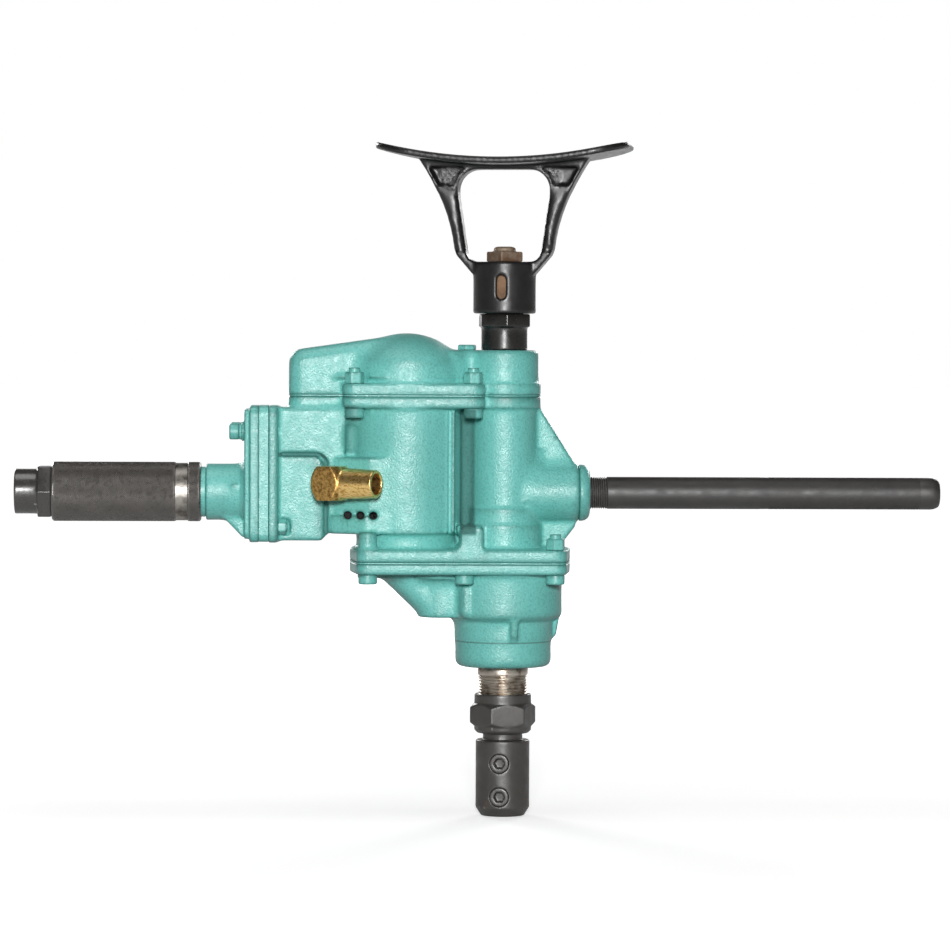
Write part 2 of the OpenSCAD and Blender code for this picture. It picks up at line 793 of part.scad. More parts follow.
module barrel_flank(z0, z1) {
    for (s = [-1, 1]) scale([1, s, 1]) {
        box([motor_x + rib_x - rib_w / 2, barrel_r / 3, z0], [motor_x + rib_x + rib_w / 2, rib_y, z1]);
        bead_x = motor_x + rib_x - rib_w / 2 - 2 - bead_w;
        box([bead_x, barrel_r / 3, z0], [bead_x + bead_w, rib_y, z1]);
        // Hollow between the wall and the column
        difference() {
            box([hollow_x, 0, z0], [0, hollow_y, z1]);
            translate([hollow_x, wall_y + hollow_r, z0 - 1]) cylinder(r = hollow_r, h = z1 - z0 + 2);
        }
    }
}

// Bosses that the blind screws end in
module blind_bosses(z0) {
    for (s = [-1, 1]) scale([1, s, 1]) {
        translate([outer_blind_x, case_bolt_y, z0]) cylinder(d = screw_d + 5, h = barrel_neck_h + 2);
        box([outer_blind_x - 7, barrel_r / 2, z0], [outer_blind_x + 7, case_bolt_y, z0 + low_flange_t]);
        low = z0 + low_flange_t - 1;
        top = joint1_z + foot_ring_h;
        translate([0, (flange_y + column_r / 2) / 2, 0])
            web([[inner_blind_x - 9, low], [inner_blind_x - 3.5, top - 15], [inner_blind_x - 3.5, top],
                 [inner_blind_x + 15.5, top], [inner_blind_x + 15.5, low]], flange_y - column_r / 2);
    }
}

module main_housing() {
    z0 = joint1_z + gasket_t / 2;
    z1 = joint2_z - gasket_t / 2;
    barrel_z = joint1_z + barrel_neck_h;
    web_x = side_boss_x - 2.7;
    color(teal) difference() {
        union() {
            up(z0) linear_extrude(low_flange_t) low_outline();
            up(z1 - top_flange_t) linear_extrude(top_flange_t) top_outline();
            at_motor(barrel_z) cylinder(d = barrel_d, h = z1 - barrel_z);
            at_motor(z0) cylinder(d = barrel_d - 2 * barrel_neck_in, h = barrel_neck_h + 4);
            up(z0) cylinder(d = column_d, h = z1 - z0);
            // Band and wider ring round the column's bearing seat
            up(z0) cylinder(r = column_r + band_t, h = joint1_z + band_h - z0);
            up(z0) cylinder(r = column_r + foot_ring_t, h = joint1_z + foot_ring_h - z0);
            box([motor_x, -wall_y, z0], [0, wall_y, z1]);
            barrel_flank(barrel_z, z1);
            blind_bosses(z0);
            chest_solid();
            exhaust_block(joint1_z + exhaust_low_h, joint1_z + exhaust_top_h);
            exhaust_block(barrel_z, joint1_z + exhaust_low_h - 2, 3);
            // The duct's foot, above the chest
            rounded_box(motor_x - duct_reach, motor_x, duct_y, joint1_z + chest_top - 12, z1, duct_round);
            side_plate(chest_x, chest_x + chest_flange_t, plate_y, plate_z, plate_z + plate_h, 7);
            along_x(0) cylinder(d = side_boss_d, h = side_boss_x);
            web([[0, z1 - top_flange_t], [column_r + 3, z1 - top_flange_t],
                 [web_x, handle_z + side_boss_d / 2], [0, handle_z]], web_t);
            web([[20, z0], [46, z0 + low_flange_t], [web_x, handle_z - side_boss_d / 2 - 4.5],
                 [web_x, handle_z], [20, handle_z]], web_t);
        }
        // Room for the motor, open at the top
        at_motor(motor_floor_z) cylinder(d = cylinder_d, h = housing_h);
        at_motor(z0 - 1) cylinder(r = motor_pinion_r + 1, h = motor_floor_z - z0 + 2);
        // Spindle column: bearing seat, shoulder and oil room
        up(z0 - 1) cylinder(d = top_bearing_d, h = top_bearing_z + top_bearing_w - z0 + 1);
        up(z0) cylinder(d = top_bearing_d - 7, h = 30);
        up(z0 + 22) cylinder(d = column_d - 15, h = housing_h);
        at_idler(z0 - 1) cylinder(d = idler_bush_d, h = idler_bush_t + 2);
        // Air chest, open to the port plate
        side_plate(chest_x - 1, motor_x - barrel_r - 23, chest_y - chest_wall,
                   joint1_z + chest_low + chest_wall, joint1_z + chest_top - chest_wall, 5);
        translate([motor_x - barrel_r - 25, 8, joint1_z + chest_top - 22]) rotate([0, 90, 0])
            cylinder(d = 12, h = barrel_r);
        // Exhaust way to the elbow, and three small exhaust holes below the block
        at_elbow() rotate([0, 0, elbow_in_turn]) rotate([0, 90, 0])
            cylinder(d = elbow_thread_d + 2 * seat_gap, h = 52);
        for (i = [0 : 2]) translate([motor_x - 49 + 10.5 * i, -chest_y, joint1_z + exhaust_low_h - 2])
            rotate([90, 0, 0]) cylinder(d = exhaust_hole_d, h = chest_y);
        at(cap_bolts, z1 - top_flange_t - 1) cylinder(d = screw_hole_d, h = top_flange_t + 2);
        at(case_bolts_all, z0 - 1)
            cylinder(d = screw_hole_d, h = low_flange_t + 2);
        along_x(side_boss_x - pipe_in + boss_ring_t) cylinder(d = pipe_d + 2 * seat_gap, h = pipe_in);
        for (s = [-1, 1]) translate([0, s * handle_bolt_y, 0]) {
            for (z = [handle_screws_z, handle_studs_z])
                along_x(chest_x - 1, z) cylinder(d = handle_hole_d, h = chest_flange_t + 2);
            // Room for the stud's nut beside the chest
            along_x(chest_x + chest_flange_t, handle_studs_z)
                cylinder(d = handle_nut_af * 1.16 + 1, h = handle_nut_h + 3);
        }
    }
}

// Profile of the nose and gear chamber, as [radius, height above the nose]
function nose_profile() = concat(
    [[0, 0]],
    [for (i = [0 : 4])
        [nose_d / 2 - nose_round + nose_round * sin(i * 22.5), nose_round - nose_round * cos(i * 22.5)]],
    [[nose_d / 2, nose_h - 1], [nose_d / 2 - 0.8, nose_h - 0.5], [nose_d / 2 - 0.8, nose_h + 0.5],
     [upper_nose_d / 2, nose_h + 1], [upper_nose_d / 2, chamber_step - 4],
     [chamber_d / 2 - 1, chamber_step], [chamber_d / 2, chamber_step + 2],
     [chamber_d / 2, case_h - gasket_t / 2], [0, case_h - gasket_t / 2]]);

module gear_case() {
    top_z = joint1_z - gasket_t / 2;
    flange_z0 = joint1_z - case_flange_t;
    idler_boss_r = idler_pinion_r + gear_room + idler_wall;
    boss_r = chamber_boss_d / 2;
    boss_y = chamber_d / 2 - 13.3;
    color(teal) difference() {
        union() {
            up(nose_z) rotate_extrude() polygon(nose_profile());
            up(flange_z0) linear_extrude(top_z - flange_z0) low_outline();
            up(flange_z0 - 2) cylinder(d = chamber_d + 3, h = 4);
            at_idler(idler_foot_z) cylinder(r = idler_boss_r, h = top_z - idler_foot_z);
            at_motor(flange_z0 - pinion_boss_h) cylinder(r = pinion_boss_r, h = pinion_boss_h + 1);
            at_idler(flange_z0 - pinion_boss_h)
                cylinder(r = idler_gear_r + gear_room + 3, h = pinion_boss_h + 1);
            // Sloping side from the pinion boss down to the idler boss
            hull() {
                at_motor(flange_z0 - 1) cylinder(r = pinion_boss_r - 3, h = 1);
                at_idler(idler_foot_z + 2.5) cylinder(r = idler_boss_r - 0.5, h = 6);
            }
            // Ribs down the nose
            for (a = [-80, 0, 80]) rotate([0, 0, a])
                web([[nose_d / 4, nose_z + nose_h + 1], [upper_nose_d / 2, nose_z + nose_h + 1],
                     [upper_nose_d / 2 + 3.5, nose_z + nose_h + 5],
                     [chamber_d / 2 - 0.5, nose_z + chamber_step + 8],
                     [nose_d / 4, nose_z + chamber_step + 8]], nose_rib_w);
            // Half-round bosses on the gear chamber, below the two inner screws
            for (s = [-1, 1]) translate([inner_blind_x + 2, s * boss_y, idler_foot_z + boss_r]) {
                cylinder(r = boss_r, h = flange_z0 - idler_foot_z - boss_r);
                sphere(r = boss_r);
            }
        }
        // Gear chamber
        up(chamber_floor_z) linear_extrude(80) gear_room_outline();
        at_idler(idler_gear_z - 1) cylinder(r = idler_gear_r + gear_room, h = 60);
        at_motor(idler_gear_z - 1) cylinder(r = motor_pinion_r + gear_room, h = 60);
        at_idler(idler_seat_z) cylinder(d = idler_bush_d, h = 30);
        // Seal, bearing seat with its ring groove, and room above it
        up(nose_z - 1) cylinder(d = seal_d, h = seal_h + 1.8);
        up(nose_z) cylinder(d = spindle_d + 1.2, h = low_bearing_z - nose_z + 1);
        up(low_bearing_z) cylinder(d = low_bearing_d, h = 60);
        up(low_bearing_z + low_bearing_w)
            cylinder(d = low_bearing_d + 2 * ring_lip, h = ring_t + 0.1);
        up(low_bearing_z + low_bearing_w + 6) cylinder(d = low_bearing_d + 5, h = 40);
        at(case_bolts_all, flange_z0 - 20)
            cylinder(d = screw_hole_d, h = 50);
        // Flat seats for the screw heads
        at(case_bolts_all, flange_z0 - head_h - 2)
            cylinder(d = head_d + 1.6, h = head_h + 2);
    }
}

// Half section of the dome: wall, shoulder and crown, each tangent to the next
function dome_profile(base_r, h) =
    let (crown_z = h - crown_r)
    let (shoulder_x = base_r - shoulder_r)
    let (rise = sqrt(pow(crown_r - shoulder_r, 2) - pow(shoulder_x, 2)))
    let (meet = atan2(rise, shoulder_x))
    concat(
        [[0, 0], [base_r, 0]],
        [for (i = [0 : 4]) [shoulder_x, crown_z + rise] + polar(shoulder_r, meet * i / 4)],
        [for (i = [1 : 6]) [0, crown_z] + polar(crown_r, mix(meet, 90, i / 6))]);

// Half section of a round boss with a rounded upper edge
function boss_profile(r, h, edge_r) = concat(
    [[0, 0], [r, 0]],
    [for (i = [0 : 4]) [r - edge_r, h - edge_r] + polar(edge_r, 22.5 * i)],
    [[0, h]]);

module duct_solid(y, h_out, h_in, reach, r) {
    hull() for (s = [-1, 1], end = [[motor_x - reach + r, h_out - r], [motor_x, h_in - r]])
        translate([end[0], s * (y - r), 0]) {
            cylinder(r = r, h = end[1], $fn = 32);
            translate([0, 0, end[1]]) sphere(r, $fn = 32);
        }
}

module top_cap() {
    z0 = joint2_z + gasket_t / 2;
    boss_h = stem_boss_h - gasket_t / 2;
    color(teal) difference() {
        union() {
            up(z0) linear_extrude(cap_flange_t - gasket_t / 2) top_outline();
            at_motor(z0) rotate_extrude() polygon(dome_profile(barrel_d / 2, dome_h - gasket_t / 2));
            up(z0) duct_solid(duct_y, duct_h, dome_h - 1.5, duct_reach, duct_round);
            up(z0) rotate_extrude() polygon(boss_profile(stem_boss_d / 2, boss_h, 3));
            // Bridge between the dome and the stem boss, under the oil plug
            translate([motor_x + bridge_x, 0, z0])
                rotate_extrude() polygon(boss_profile(bridge_r, boss_h, bridge_round));
            box([plug_x - plug_af * 0.7, -plug_af * 0.7, z0], [0, plug_af * 0.7, z0 + boss_h]);
        }
        at_motor(z0 - 1) cylinder(d = cylinder_d - 6, h = 17);
        up(z0 - 1)
            duct_solid(duct_y - cap_wall, duct_h - cap_wall, 20, duct_reach - cap_wall,
                       duct_round - cap_wall);
        // Stem thread and the oil room below it
        up(z0 - 1) cylinder(d = column_d - 15, h = stem_boss_h - stem_in - 4);
        up(stem_boss_z - stem_in) cylinder(d = stem_d - 3 + 2 * seat_gap, h = stem_in + 1);
        translate([plug_x, 0, z0 + 10]) cylinder(d = 9.8, h = stem_boss_h);
        at(cap_bolts, z0 - 1) cylinder(d = screw_hole_d, h = cap_flange_t + 2);
        // Flat seats for the nuts
        at(cap_bolts, z0 + cap_flange_t - gasket_t / 2) cylinder(d = head_d + 2.4, h = flange_nut_h + 5);
    }
}

module oil_plug() {
    color(teal) translate([plug_x, 0, stem_boss_z]) union() {
        rotate([0, 0, 15]) nut_blank(plug_af, plug_h);
        up(-12) cylinder(d = 9.7, h = 13);
    }
}

module cap_gasket() {
    color(teal) up(joint2_z - gasket_t / 2) linear_extrude(gasket_t) difference() {
        top_outline();
        translate([motor_x, 0]) circle(d = cylinder_d);
        circle(d = column_d - 15);
        at(cap_bolts) circle(d = screw_hole_d);
    }
}

module case_gasket() {
    color(teal) up(joint1_z - gasket_t / 2) linear_extrude(gasket_t) difference() {
        low_outline();
        circle(spindle_gear_r + gear_room);
        translate([idler_x, idler_y]) circle(idler_gear_r + gear_room);
        translate([motor_x, 0]) circle(motor_pinion_r + gear_room);
        at(case_bolts_all) circle(d = screw_hole_d);
    }
}

// Flange fasteners

module cap_screws() {
    grip = top_flange_t + cap_flange_t + gasket_t / 2;
    color(teal) at(cap_bolts, joint2_z - gasket_t / 2 - top_flange_t)
        socket_screw(grip + flange_nut_h + thread_end);
}

module cap_nuts() {
    color(teal) at(cap_bolts, joint2_z + cap_flange_t)
        rotate([0, 0, 10]) hex_nut(flange_nut_af, flange_nut_h, screw_hole_d);
}

module case_screws() {
    color(teal) at(case_bolts_blind, joint1_z - case_flange_t)
        socket_screw(case_flange_t + low_flange_t);
}

module case_bolts() {
    color(teal) at(case_bolts_nut, joint1_z - case_flange_t)
        socket_screw(case_flange_t + gasket_t / 2 + low_flange_t + flange_nut_h + thread_end);
}

module case_nuts() {
    color(teal) at(case_bolts_nut, joint1_z + gasket_t / 2 + low_flange_t)
        rotate([0, 0, 18]) hex_nut(flange_nut_af, flange_nut_h, screw_hole_d);
}

// Throttle handle

module handle_holes(x, depth) {
    for (s = [-1, 1], z = [handle_screws_z, handle_studs_z])
        translate([0, s * handle_bolt_y, 0]) along_x(x, z)
            cylinder(d = handle_hole_d, h = depth);
}

module port_plate() {
    color(teal) difference() {
        side_plate(port_plate_x, chest_x, plate_y - 0.6, plate_z + 0.7, plate_z + plate_h, 7);
        along_x(port_plate_x - 1) cylinder(d = valve_d - 4, h = port_plate_t + 2);
        handle_holes(port_plate_x - 1, port_plate_t + 2);
    }
}

module handle_base() {
    color(teal) difference() {
        union() {
            side_plate(base_x, port_plate_x, plate_y, plate_z + 0.3, plate_z + plate_h, 8);
            side_plate(pad_face_x, base_x, plate_y - base_pad_in, plate_z + base_pad_in,
                       plate_z + plate_h - base_pad_in, 7);
            // Neck with its flare, its web down to the flange's foot, and the tube for the sleeve
            along_minus_x(base_x) cylinder(d = throat_d, h = throat_l);
            along_minus_x(pad_face_x) cylinder(d1 = throat_d + 9, d2 = throat_d - 1, h = 5);
            web([[base_x, handle_z], [base_x, handle_z - 37], [pad_face_x - 2, handle_z - 37],
                 [pad_face_x - 16, handle_z - throat_d / 2 + 1], [pad_face_x - 16, handle_z]], 26);
            along_minus_x(base_x) cylinder(d = core_d, h = base_x - sleeve_x);
            // Small round boss on the neck
            translate([pad_face_x - 8, -throat_d / 2 + 2, handle_z + 5]) rotate([90, 0, 0])
                cylinder(d = 5, h = 3);
        }
        along_minus_x(port_plate_x + 1) cylinder(d = valve_d + 2 * run_gap, h = port_plate_x - sleeve_x + 2);
        // Slot for the drive pin's swing
        along_x(drive_pin_x - drive_pin_d / 2 - 0.4) rotate([0, 0, 180 - pin_slot_turn])
            rotate_extrude(angle = 2 * pin_slot_turn) translate([valve_d / 2 - 1, 0])
                square([(core_d - valve_d) / 2 + 3, drive_pin_d + 0.8]);
        handle_holes(pad_face_x - 1, base_pad_t + base_flange_t + 2);
    }
}

module handle_screws() {
    reach = base_pad_t + base_flange_t + port_plate_t + chest_flange_t;
    color(teal) for (s = [-1, 1]) translate([0, s * handle_bolt_y, 0])
        along_x(pad_face_x - washer_t - collar_t, handle_screws_z)
            socket_screw(reach + washer_t + collar_t, handle_screw_d, handle_head_d);
}

module handle_washers() {
    color(steel) for (s = [-1, 1]) translate([0, s * handle_bolt_y, 0]) {
        along_x(pad_face_x - washer_t, handle_screws_z)
            tube(handle_head_d + 2.4, handle_hole_d, washer_t);
        along_x(pad_face_x - washer_t - collar_t, handle_screws_z)
            tube(handle_head_d, handle_hole_d, collar_t);
    }
}

module handle_studs() {
    grip = base_flange_t - 1 + port_plate_t + chest_flange_t;
    color(teal) for (s = [-1, 1]) translate([0, s * handle_bolt_y, 0])
        along_x(port_plate_x - base_flange_t + 1, handle_studs_z)
            cylinder(d = handle_screw_d, h = grip + handle_nut_h + 1);
}

module handle_nuts() {
    color(teal) for (s = [-1, 1]) translate([0, s * handle_bolt_y, 0])
        along_x(chest_x + chest_flange_t, handle_studs_z)
            hex_nut(handle_nut_af, handle_nut_h, handle_hole_d);
}

module inlet_bushing() {
    color(dark_steel) difference() {
        union() {
            along_x(inlet_hex_x) rotate([0, 0, 90]) hexagon(inlet_af, inlet_hex_l);
            along_x(inlet_x) cylinder(d = inlet_d, h = inlet_l);
            along_x(inlet_hex_x) cylinder(d = valve_d, h = inlet_hex_l + face_gap + 26);
        }
        along_x(inlet_x - 1) cylinder(d = inlet_bore, h = inlet_depth + 1);
        along_x(inlet_x) cylinder(d = inlet_bore - 4, h = inlet_l + inlet_hex_l + 30);
    }
}

module throttle_sleeve() {
    groove_x = throat_x - sleeve_ring_l - 11;
    color(black) difference() {
        union() {
            along_x(sleeve_x + 1.2) cylinder(d = sleeve_d, h = sleeve_l - 2.4);
            along_x(sleeve_x) cylinder(d1 = sleeve_d - 2.4, d2 = sleeve_d, h = 1.2);
            along_x(sleeve_x + sleeve_l - 1.2) cylinder(d1 = sleeve_d, d2 = sleeve_d - 2.4, h = 1.2);
            along_x(sleeve_x + sleeve_l - 1) cylinder(d = sleeve_ring_d, h = sleeve_ring_l + 1 - face_gap);
        }
        along_x(sleeve_x - 1) cylinder(d = core_d + 2 * run_gap, h = sleeve_l + sleeve_ring_l + 2);
        along_x(groove_x - groove_w) tube(sleeve_d + 4, sleeve_d - 2 * groove_t, groove_w);
        translate([drive_pin_x, 0, handle_z]) cylinder(d = drive_pin_d + 2 * seat_gap, h = sleeve_d);
    }
}

module throttle_valve() {
    color(brass) difference() {
        along_x(valve_x0) cylinder(d = valve_d, h = port_plate_x - valve_x0 - face_gap);
        along_x(valve_x0 - 1) cylinder(d = valve_bore, h = port_plate_x - valve_x0 + 2);
        translate([drive_pin_x, 0, handle_z]) cylinder(d = drive_pin_d + 2 * seat_gap, h = valve_d);
        for (a = [60, 180, 300]) translate([port_plate_x - 12, 0, handle_z]) rotate([a, 0, 0])
            cylinder(d = 7, h = valve_d);
    }
}

module drive_pin() {
    color(steel) translate([drive_pin_x, 0, handle_z + valve_bore / 2 + 0.5])
        cylinder(d = drive_pin_d, h = sleeve_d / 2 - valve_bore / 2 - 1.5);
}

// Pipe handle and elbow

module boss_ring() {
    edge_r = min(boss_ring_round, boss_ring_t - 0.5);
    color(teal) difference() {
        along_x(side_boss_x) rotate_extrude()
            polygon(boss_profile(boss_ring_d / 2, boss_ring_t, edge_r));
        along_x(side_boss_x - 1) cylinder(d = pipe_d + 2 * seat_gap, h = boss_ring_t + 2);
    }
}

module pipe_handle() {
    x0 = boss_face_x - pipe_in;
    length = pipe_in + pipe_show;
    dome_l = 8;
    color(black) difference() {
        along_x(x0) rotate_extrude() polygon(concat(
            [[0, 0], [pipe_d / 2, 0], [pipe_d / 2, length - dome_l]],
            [for (a = [15 : 15 : 75])
                [pipe_d / 2 - 4 + 4 * cos(a), length - dome_l + dome_l * sin(a)]],
            [[0, length]]));
        along_x(x0 - 1) cylinder(d = pipe_d - 2 * pipe_wall, h = length - dome_l);
    }
}

// Square bar along +X whose ends are turned to cones, which leaves arcs on its flats
module coned_bar(side, half_l, far_r) {
    flat_r = side / 2;
    length = 2 * half_l + flat_r - far_r;
    intersection() {
        translate([-half_l, -flat_r, -flat_r]) cube([length, side, side]);
        translate([-half_l, 0, 0]) rotate([0, 90, 0]) {
            cylinder(r1 = flat_r - 0.4, r2 = flat_r + length, h = length);
        }
        translate([-half_l, 0, 0]) rotate([0, 90, 0]) cylinder(r1 = far_r + length, r2 = far_r, h = length);
    }
}

module exhaust_elbow() {
    color(brass) at_elbow() difference() {
        union() {
            rotate([0, 0, -elbow_turn]) {
                coned_bar(elbow_body, elbow_half_l, elbow_root_d / 2 - 1);
                rotate([0, 90, 0]) cylinder(d1 = elbow_root_d, d2 = elbow_mouth_d, h = elbow_out);
            }
            rotate([0, 0, elbow_in_turn]) rotate([0, 90, 0]) cylinder(d = elbow_thread_d, h = 34);
        }
        rotate([0, 0, -elbow_turn]) rotate([0, 90, 0]) cylinder(d = elbow_bore, h = elbow_out + 1);
        rotate([0, 0, elbow_in_turn]) rotate([0, 90, 0]) cylinder(d = elbow_bore - 3, h = 40);
    }
}

// Stem and breast plate

module stem() {
    color(black) difference() {
        union() {
            up(stem_boss_z) cylinder(d = stem_d, h = stem_show + 1);
            up(stem_boss_z - stem_in) cylinder(d = stem_d - 3, h = stem_in + 1);
            up(stem_hex_z) rotate([0, 0, stem_turn - 90]) hexagon(stem_af, stem_hex_h);
            up(hub_z - 1) cylinder(d = spigot_d, h = hub_h + 1 + face_gap / 2);
        }
        up(hub_top_z - 30) cylinder(d = 14 + 2 * seat_gap, h = 60);
    }
}

module plate_screw() {
    z = hub_top_z + face_gap;
    color(rust) union() {
        up(z) rotate([0, 0, square_turn])
            translate([-square_w / 2, -square_w / 2, 0]) cube([square_w, square_w, square_h]);
        up(z + square_h - 0.5) cylinder(d = square_top_d, h = square_top_h - 0.7);
        up(z + square_h + square_top_h - 1.2)
            cylinder(d1 = square_top_d, d2 = square_top_d - 5, h = 1.2);
        up(z - 24) cylinder(d = 14, h = 25);
    }
}

// The legs' outline in the plate's own XZ plane: y is height above the hub's foot
module leg_outline() {
    top = breast_h - breast_t / 2;
    side = curve([leg_top_w / 2 + 8, top + 4], [leg_low_w / 2 + 5, top - 36],
                 [leg_low_w / 2 + 1.5, hub_h + 10], 8);
    polygon(concat(side, [[leg_low_w / 2 - 1, hub_h + 5], [hub_d / 2, hub_h - 10]],
        [for (p = [[hub_d / 2, hub_h - 10], [leg_low_w / 2 - 1, hub_h + 5]]) [-p[0], p[1]]],
        [for (i = [len(side) - 1 : -1 : 0]) [-side[i][0], side[i][1]]]));
}

module window_outline() {
    top = breast_h - breast_t - 3.4;
    hull() for (s = [-1, 1]) {
        translate([s * (window_low_w / 2 - 8.5), hub_h + 8.5]) circle(8.5);
        translate([s * (window_top_w / 2 - 17), top - 17]) circle(17);
        translate([s * (window_top_w / 2 - 26), top - 1]) circle(1);
    }
}

module breast_plate() {
    arc_r = (pow(breast_w / 2, 2) + pow(breast_rise, 2)) / (2 * breast_rise);
    web_h = breast_h - breast_t;
    color(black) up(hub_z + face_gap) rotate([0, 0, plate_turn]) difference() {
        union() {
            cylinder(d = hub_d, h = hub_h - face_gap);
            rotate([90, 0, 0]) linear_extrude(leg_y, center = true) difference() {
                leg_outline();
                translate([0, breast_h + arc_r]) circle(arc_r + breast_t / 2, $fn = 400);
                window_outline();
            }
            // Curved plate, rounded in plan
            intersection() {
                rotate([90, 0, 0]) linear_extrude(breast_y, center = true)
                    translate([0, breast_h + arc_r]) difference() {
                        circle(arc_r + breast_t, $fn = 400);
                        circle(arc_r, $fn = 400);
                    }
                up(web_h - 10) linear_extrude(60) offset(breast_corner)
                    square([breast_w - 2 * breast_corner, breast_y - 2 * breast_corner], center = true);
            }
        }
        up(-1) cylinder(d = bush_d, h = hub_h + 2);
        // Pockets in the corner gussets, front and back
        for (s = [-1, 1]) translate([0, s * (leg_y / 2 - leg_pocket / 2 + 0.5), 0]) rotate([90, 0, 0])
            linear_extrude(leg_pocket + 1, center = true) offset(delta = -leg_rim) difference() {
                intersection() {
                    leg_outline();
                    translate([-100, hub_h + 60]) square([200, web_h - hub_h - 58]);
                }
                offset(delta = 0.01) window_outline();
            }
        // Slot in the front of the hub
        for (z = [0, 1]) up(12 + slot_w / 2 + z * (slot_h - slot_w)) rotate([90, 0, 0])
            cylinder(d = slot_w, h = hub_d);
        translate([-slot_w / 2, -hub_d, 12 + slot_w / 2]) cube([slot_w, hub_d, slot_h - slot_w]);
    }
}

module hub_bush() {
    color(bronze) up(hub_z + face_gap)
        tube(bush_d - 2 * seat_gap, spigot_d + 2 * run_gap, hub_h - face_gap - 0.1);
}

// Spindle, chuck and lock nut

module chuck_holes() {
    for (z = [set_screw_z1, set_screw_z2]) up(z) rotate([90, 0, chuck_turn])
        cylinder(d = set_screw_d, h = chuck_d);
}

module chuck() {
    mouth_r = chuck_d / 2 - chuck_chamfer_w;
    color(dark_steel) difference() {
        union() {
            up(chuck_chamfer_h) cylinder(d = chuck_d, h = chuck_l - chuck_chamfer_h - 0.8);
            cylinder(r1 = mouth_r, r2 = chuck_d / 2, h = chuck_chamfer_h);
            up(chuck_l - 0.8) cylinder(d1 = chuck_d, d2 = chuck_d - 1.6, h = 0.8);
            up(chuck_l - 1) cylinder(d = neck_d, h = flange_z - chuck_l + 1);
            up(flange_z) cylinder(d = spindle_d - 1, h = flange_t);
            up(flange_z + flange_t - 0.5)
                cylinder(r1 = taper_d / 2 + 0.5 * taper_slope - seat_gap,
                         r2 = taper_d / 2 - taper_l * taper_slope - seat_gap, h = taper_l + 0.5);
        }
        up(-1) cylinder(d = bit_d, h = bit_depth + 1);
        chuck_holes();
    }
}

module set_screw(z) {
    up(z) rotate([90, 0, chuck_turn]) up(chuck_d / 2 - 1 - set_screw_l)
        difference() {
            cylinder(d = set_screw_d - 2 * run_gap, h = set_screw_l);
            up(set_screw_l * 0.45) hexagon(set_screw_key, set_screw_l);
        }
}

module set_screw_lower() {
    color(dark_steel) set_screw(set_screw_z1);
}

module set_screw_upper() {
    color(dark_steel) set_screw(set_screw_z2);
}

module lock_nut() {
    hex_z = nut_z + nut_low_h;
    color(black) difference() {
        union() {
            up(nut_z) cylinder(d1 = nut_collar_d - 5, d2 = nut_collar_d, h = 2.5);
            up(nut_z + 2.5) cylinder(d = nut_collar_d, h = nut_h - 2.5);
            up(hex_z) rotate([0, 0, nut_turn]) intersection() {
                hexagon(nut_hex_af, nut_hex_h);
                union() {
                    cylinder(d1 = nut_hex_af, d2 = nut_hex_af / cos(30), h = 3);
                    up(3) cylinder(d = nut_hex_af / cos(30), h = nut_hex_h - 6);
                    up(nut_hex_h - 3)
                        cylinder(d1 = nut_hex_af / cos(30), d2 = nut_hex_af, h = 3);
                }
            }
        }
        up(nut_z - 1) cylinder(d = neck_d + 2 * seat_gap, h = 60);
        up(flange_z) cylinder(d = spindle_d + 2 * seat_gap, h = 60);
    }
}

module spindle() {
    shoulder_z = low_bearing_z;
    color(steel) difference() {
        union() {
            up(spindle_z0) cylinder(d = spindle_d, h = shoulder_z - spindle_z0);
            up(shoulder_z - 1)
                cylinder(d = low_bearing_bore - 2 * seat_gap, h = spindle_gear_z - shoulder_z + 1);
            up(spindle_gear_z - 1)
                cylinder(d = gear_seat_d, h = spindle_gear_t + 1 + ring_t + 1.5);
            up(spindle_gear_z)
                cylinder(d = top_journal_d + 4, h = top_bearing_z - spindle_gear_z);
            up(top_bearing_z - 1)
                cylinder(d = top_journal_d - 2 * seat_gap, h = top_bearing_w + 3);
        }
        up(spindle_z0 - 0.01)
            cylinder(r1 = taper_d / 2, r2 = taper_d / 2 - (taper_l + 3) * taper_slope, h = taper_l + 3);
        translate([gear_seat_d / 2 - key_in, -key_w / 2, spindle_gear_z - 0.01])
            cube([key_w, key_w, spindle_gear_t + 0.02]);
        up(spindle_gear_z + spindle_gear_t) tube(gear_seat_d + 4, gear_seat_d - 3, ring_t);
    }
}

module spindle_key() {
    color(steel) translate([gear_seat_d / 2 - key_in, -key_w / 2, spindle_gear_z])
        cube([key_w - 1, key_w, spindle_gear_t]);
}

module gear_ring() {
    color(steel) up(spindle_gear_z + spindle_gear_t) difference() {
        tube(gear_seat_d + 6, gear_seat_d - 3 + 2 * seat_gap, ring_t);
        translate([-3, -gear_seat_d, -1]) cube([6, gear_seat_d, ring_t + 2]);
    }
}

module spindle_gear() {
    toward_idler = atan2(idler_y, idler_x);
    color(steel) up(spindle_gear_z) difference() {
        rotate([0, 0, toward_idler]) linear_extrude(spindle_gear_t)
            polygon(gear_points(spindle_teeth, spindle_module));
        up(-1) cylinder(d = gear_seat_d + 2 * seat_gap, h = spindle_gear_t + 2);
        translate([0, -key_w / 2, -1])
            cube([gear_seat_d / 2 + key_w - key_in - 1, key_w, spindle_gear_t + 2]);
        // Recess in each face, between the rim and the hub
        for (z = [-1, spindle_gear_t - 4]) up(z)
            tube(spindle_gear_r * 2 - 14, gear_seat_d + 16, 5);
    }
}

module spindle_seal() {
    color(black) tube(seal_d - 2 * seat_gap, spindle_d + 2 * run_gap, seal_h, nose_z + 0.8);
}

module low_bearing_outer() {
    color(steel) up(low_bearing_z)
        race_outer(low_bearing_d, low_bearing_bore, low_bearing_w, 9);
}

module low_bearing_inner() {
    color(steel) up(low_bearing_z) race_inner(low_bearing_d, low_bearing_bore, low_bearing_w);
}

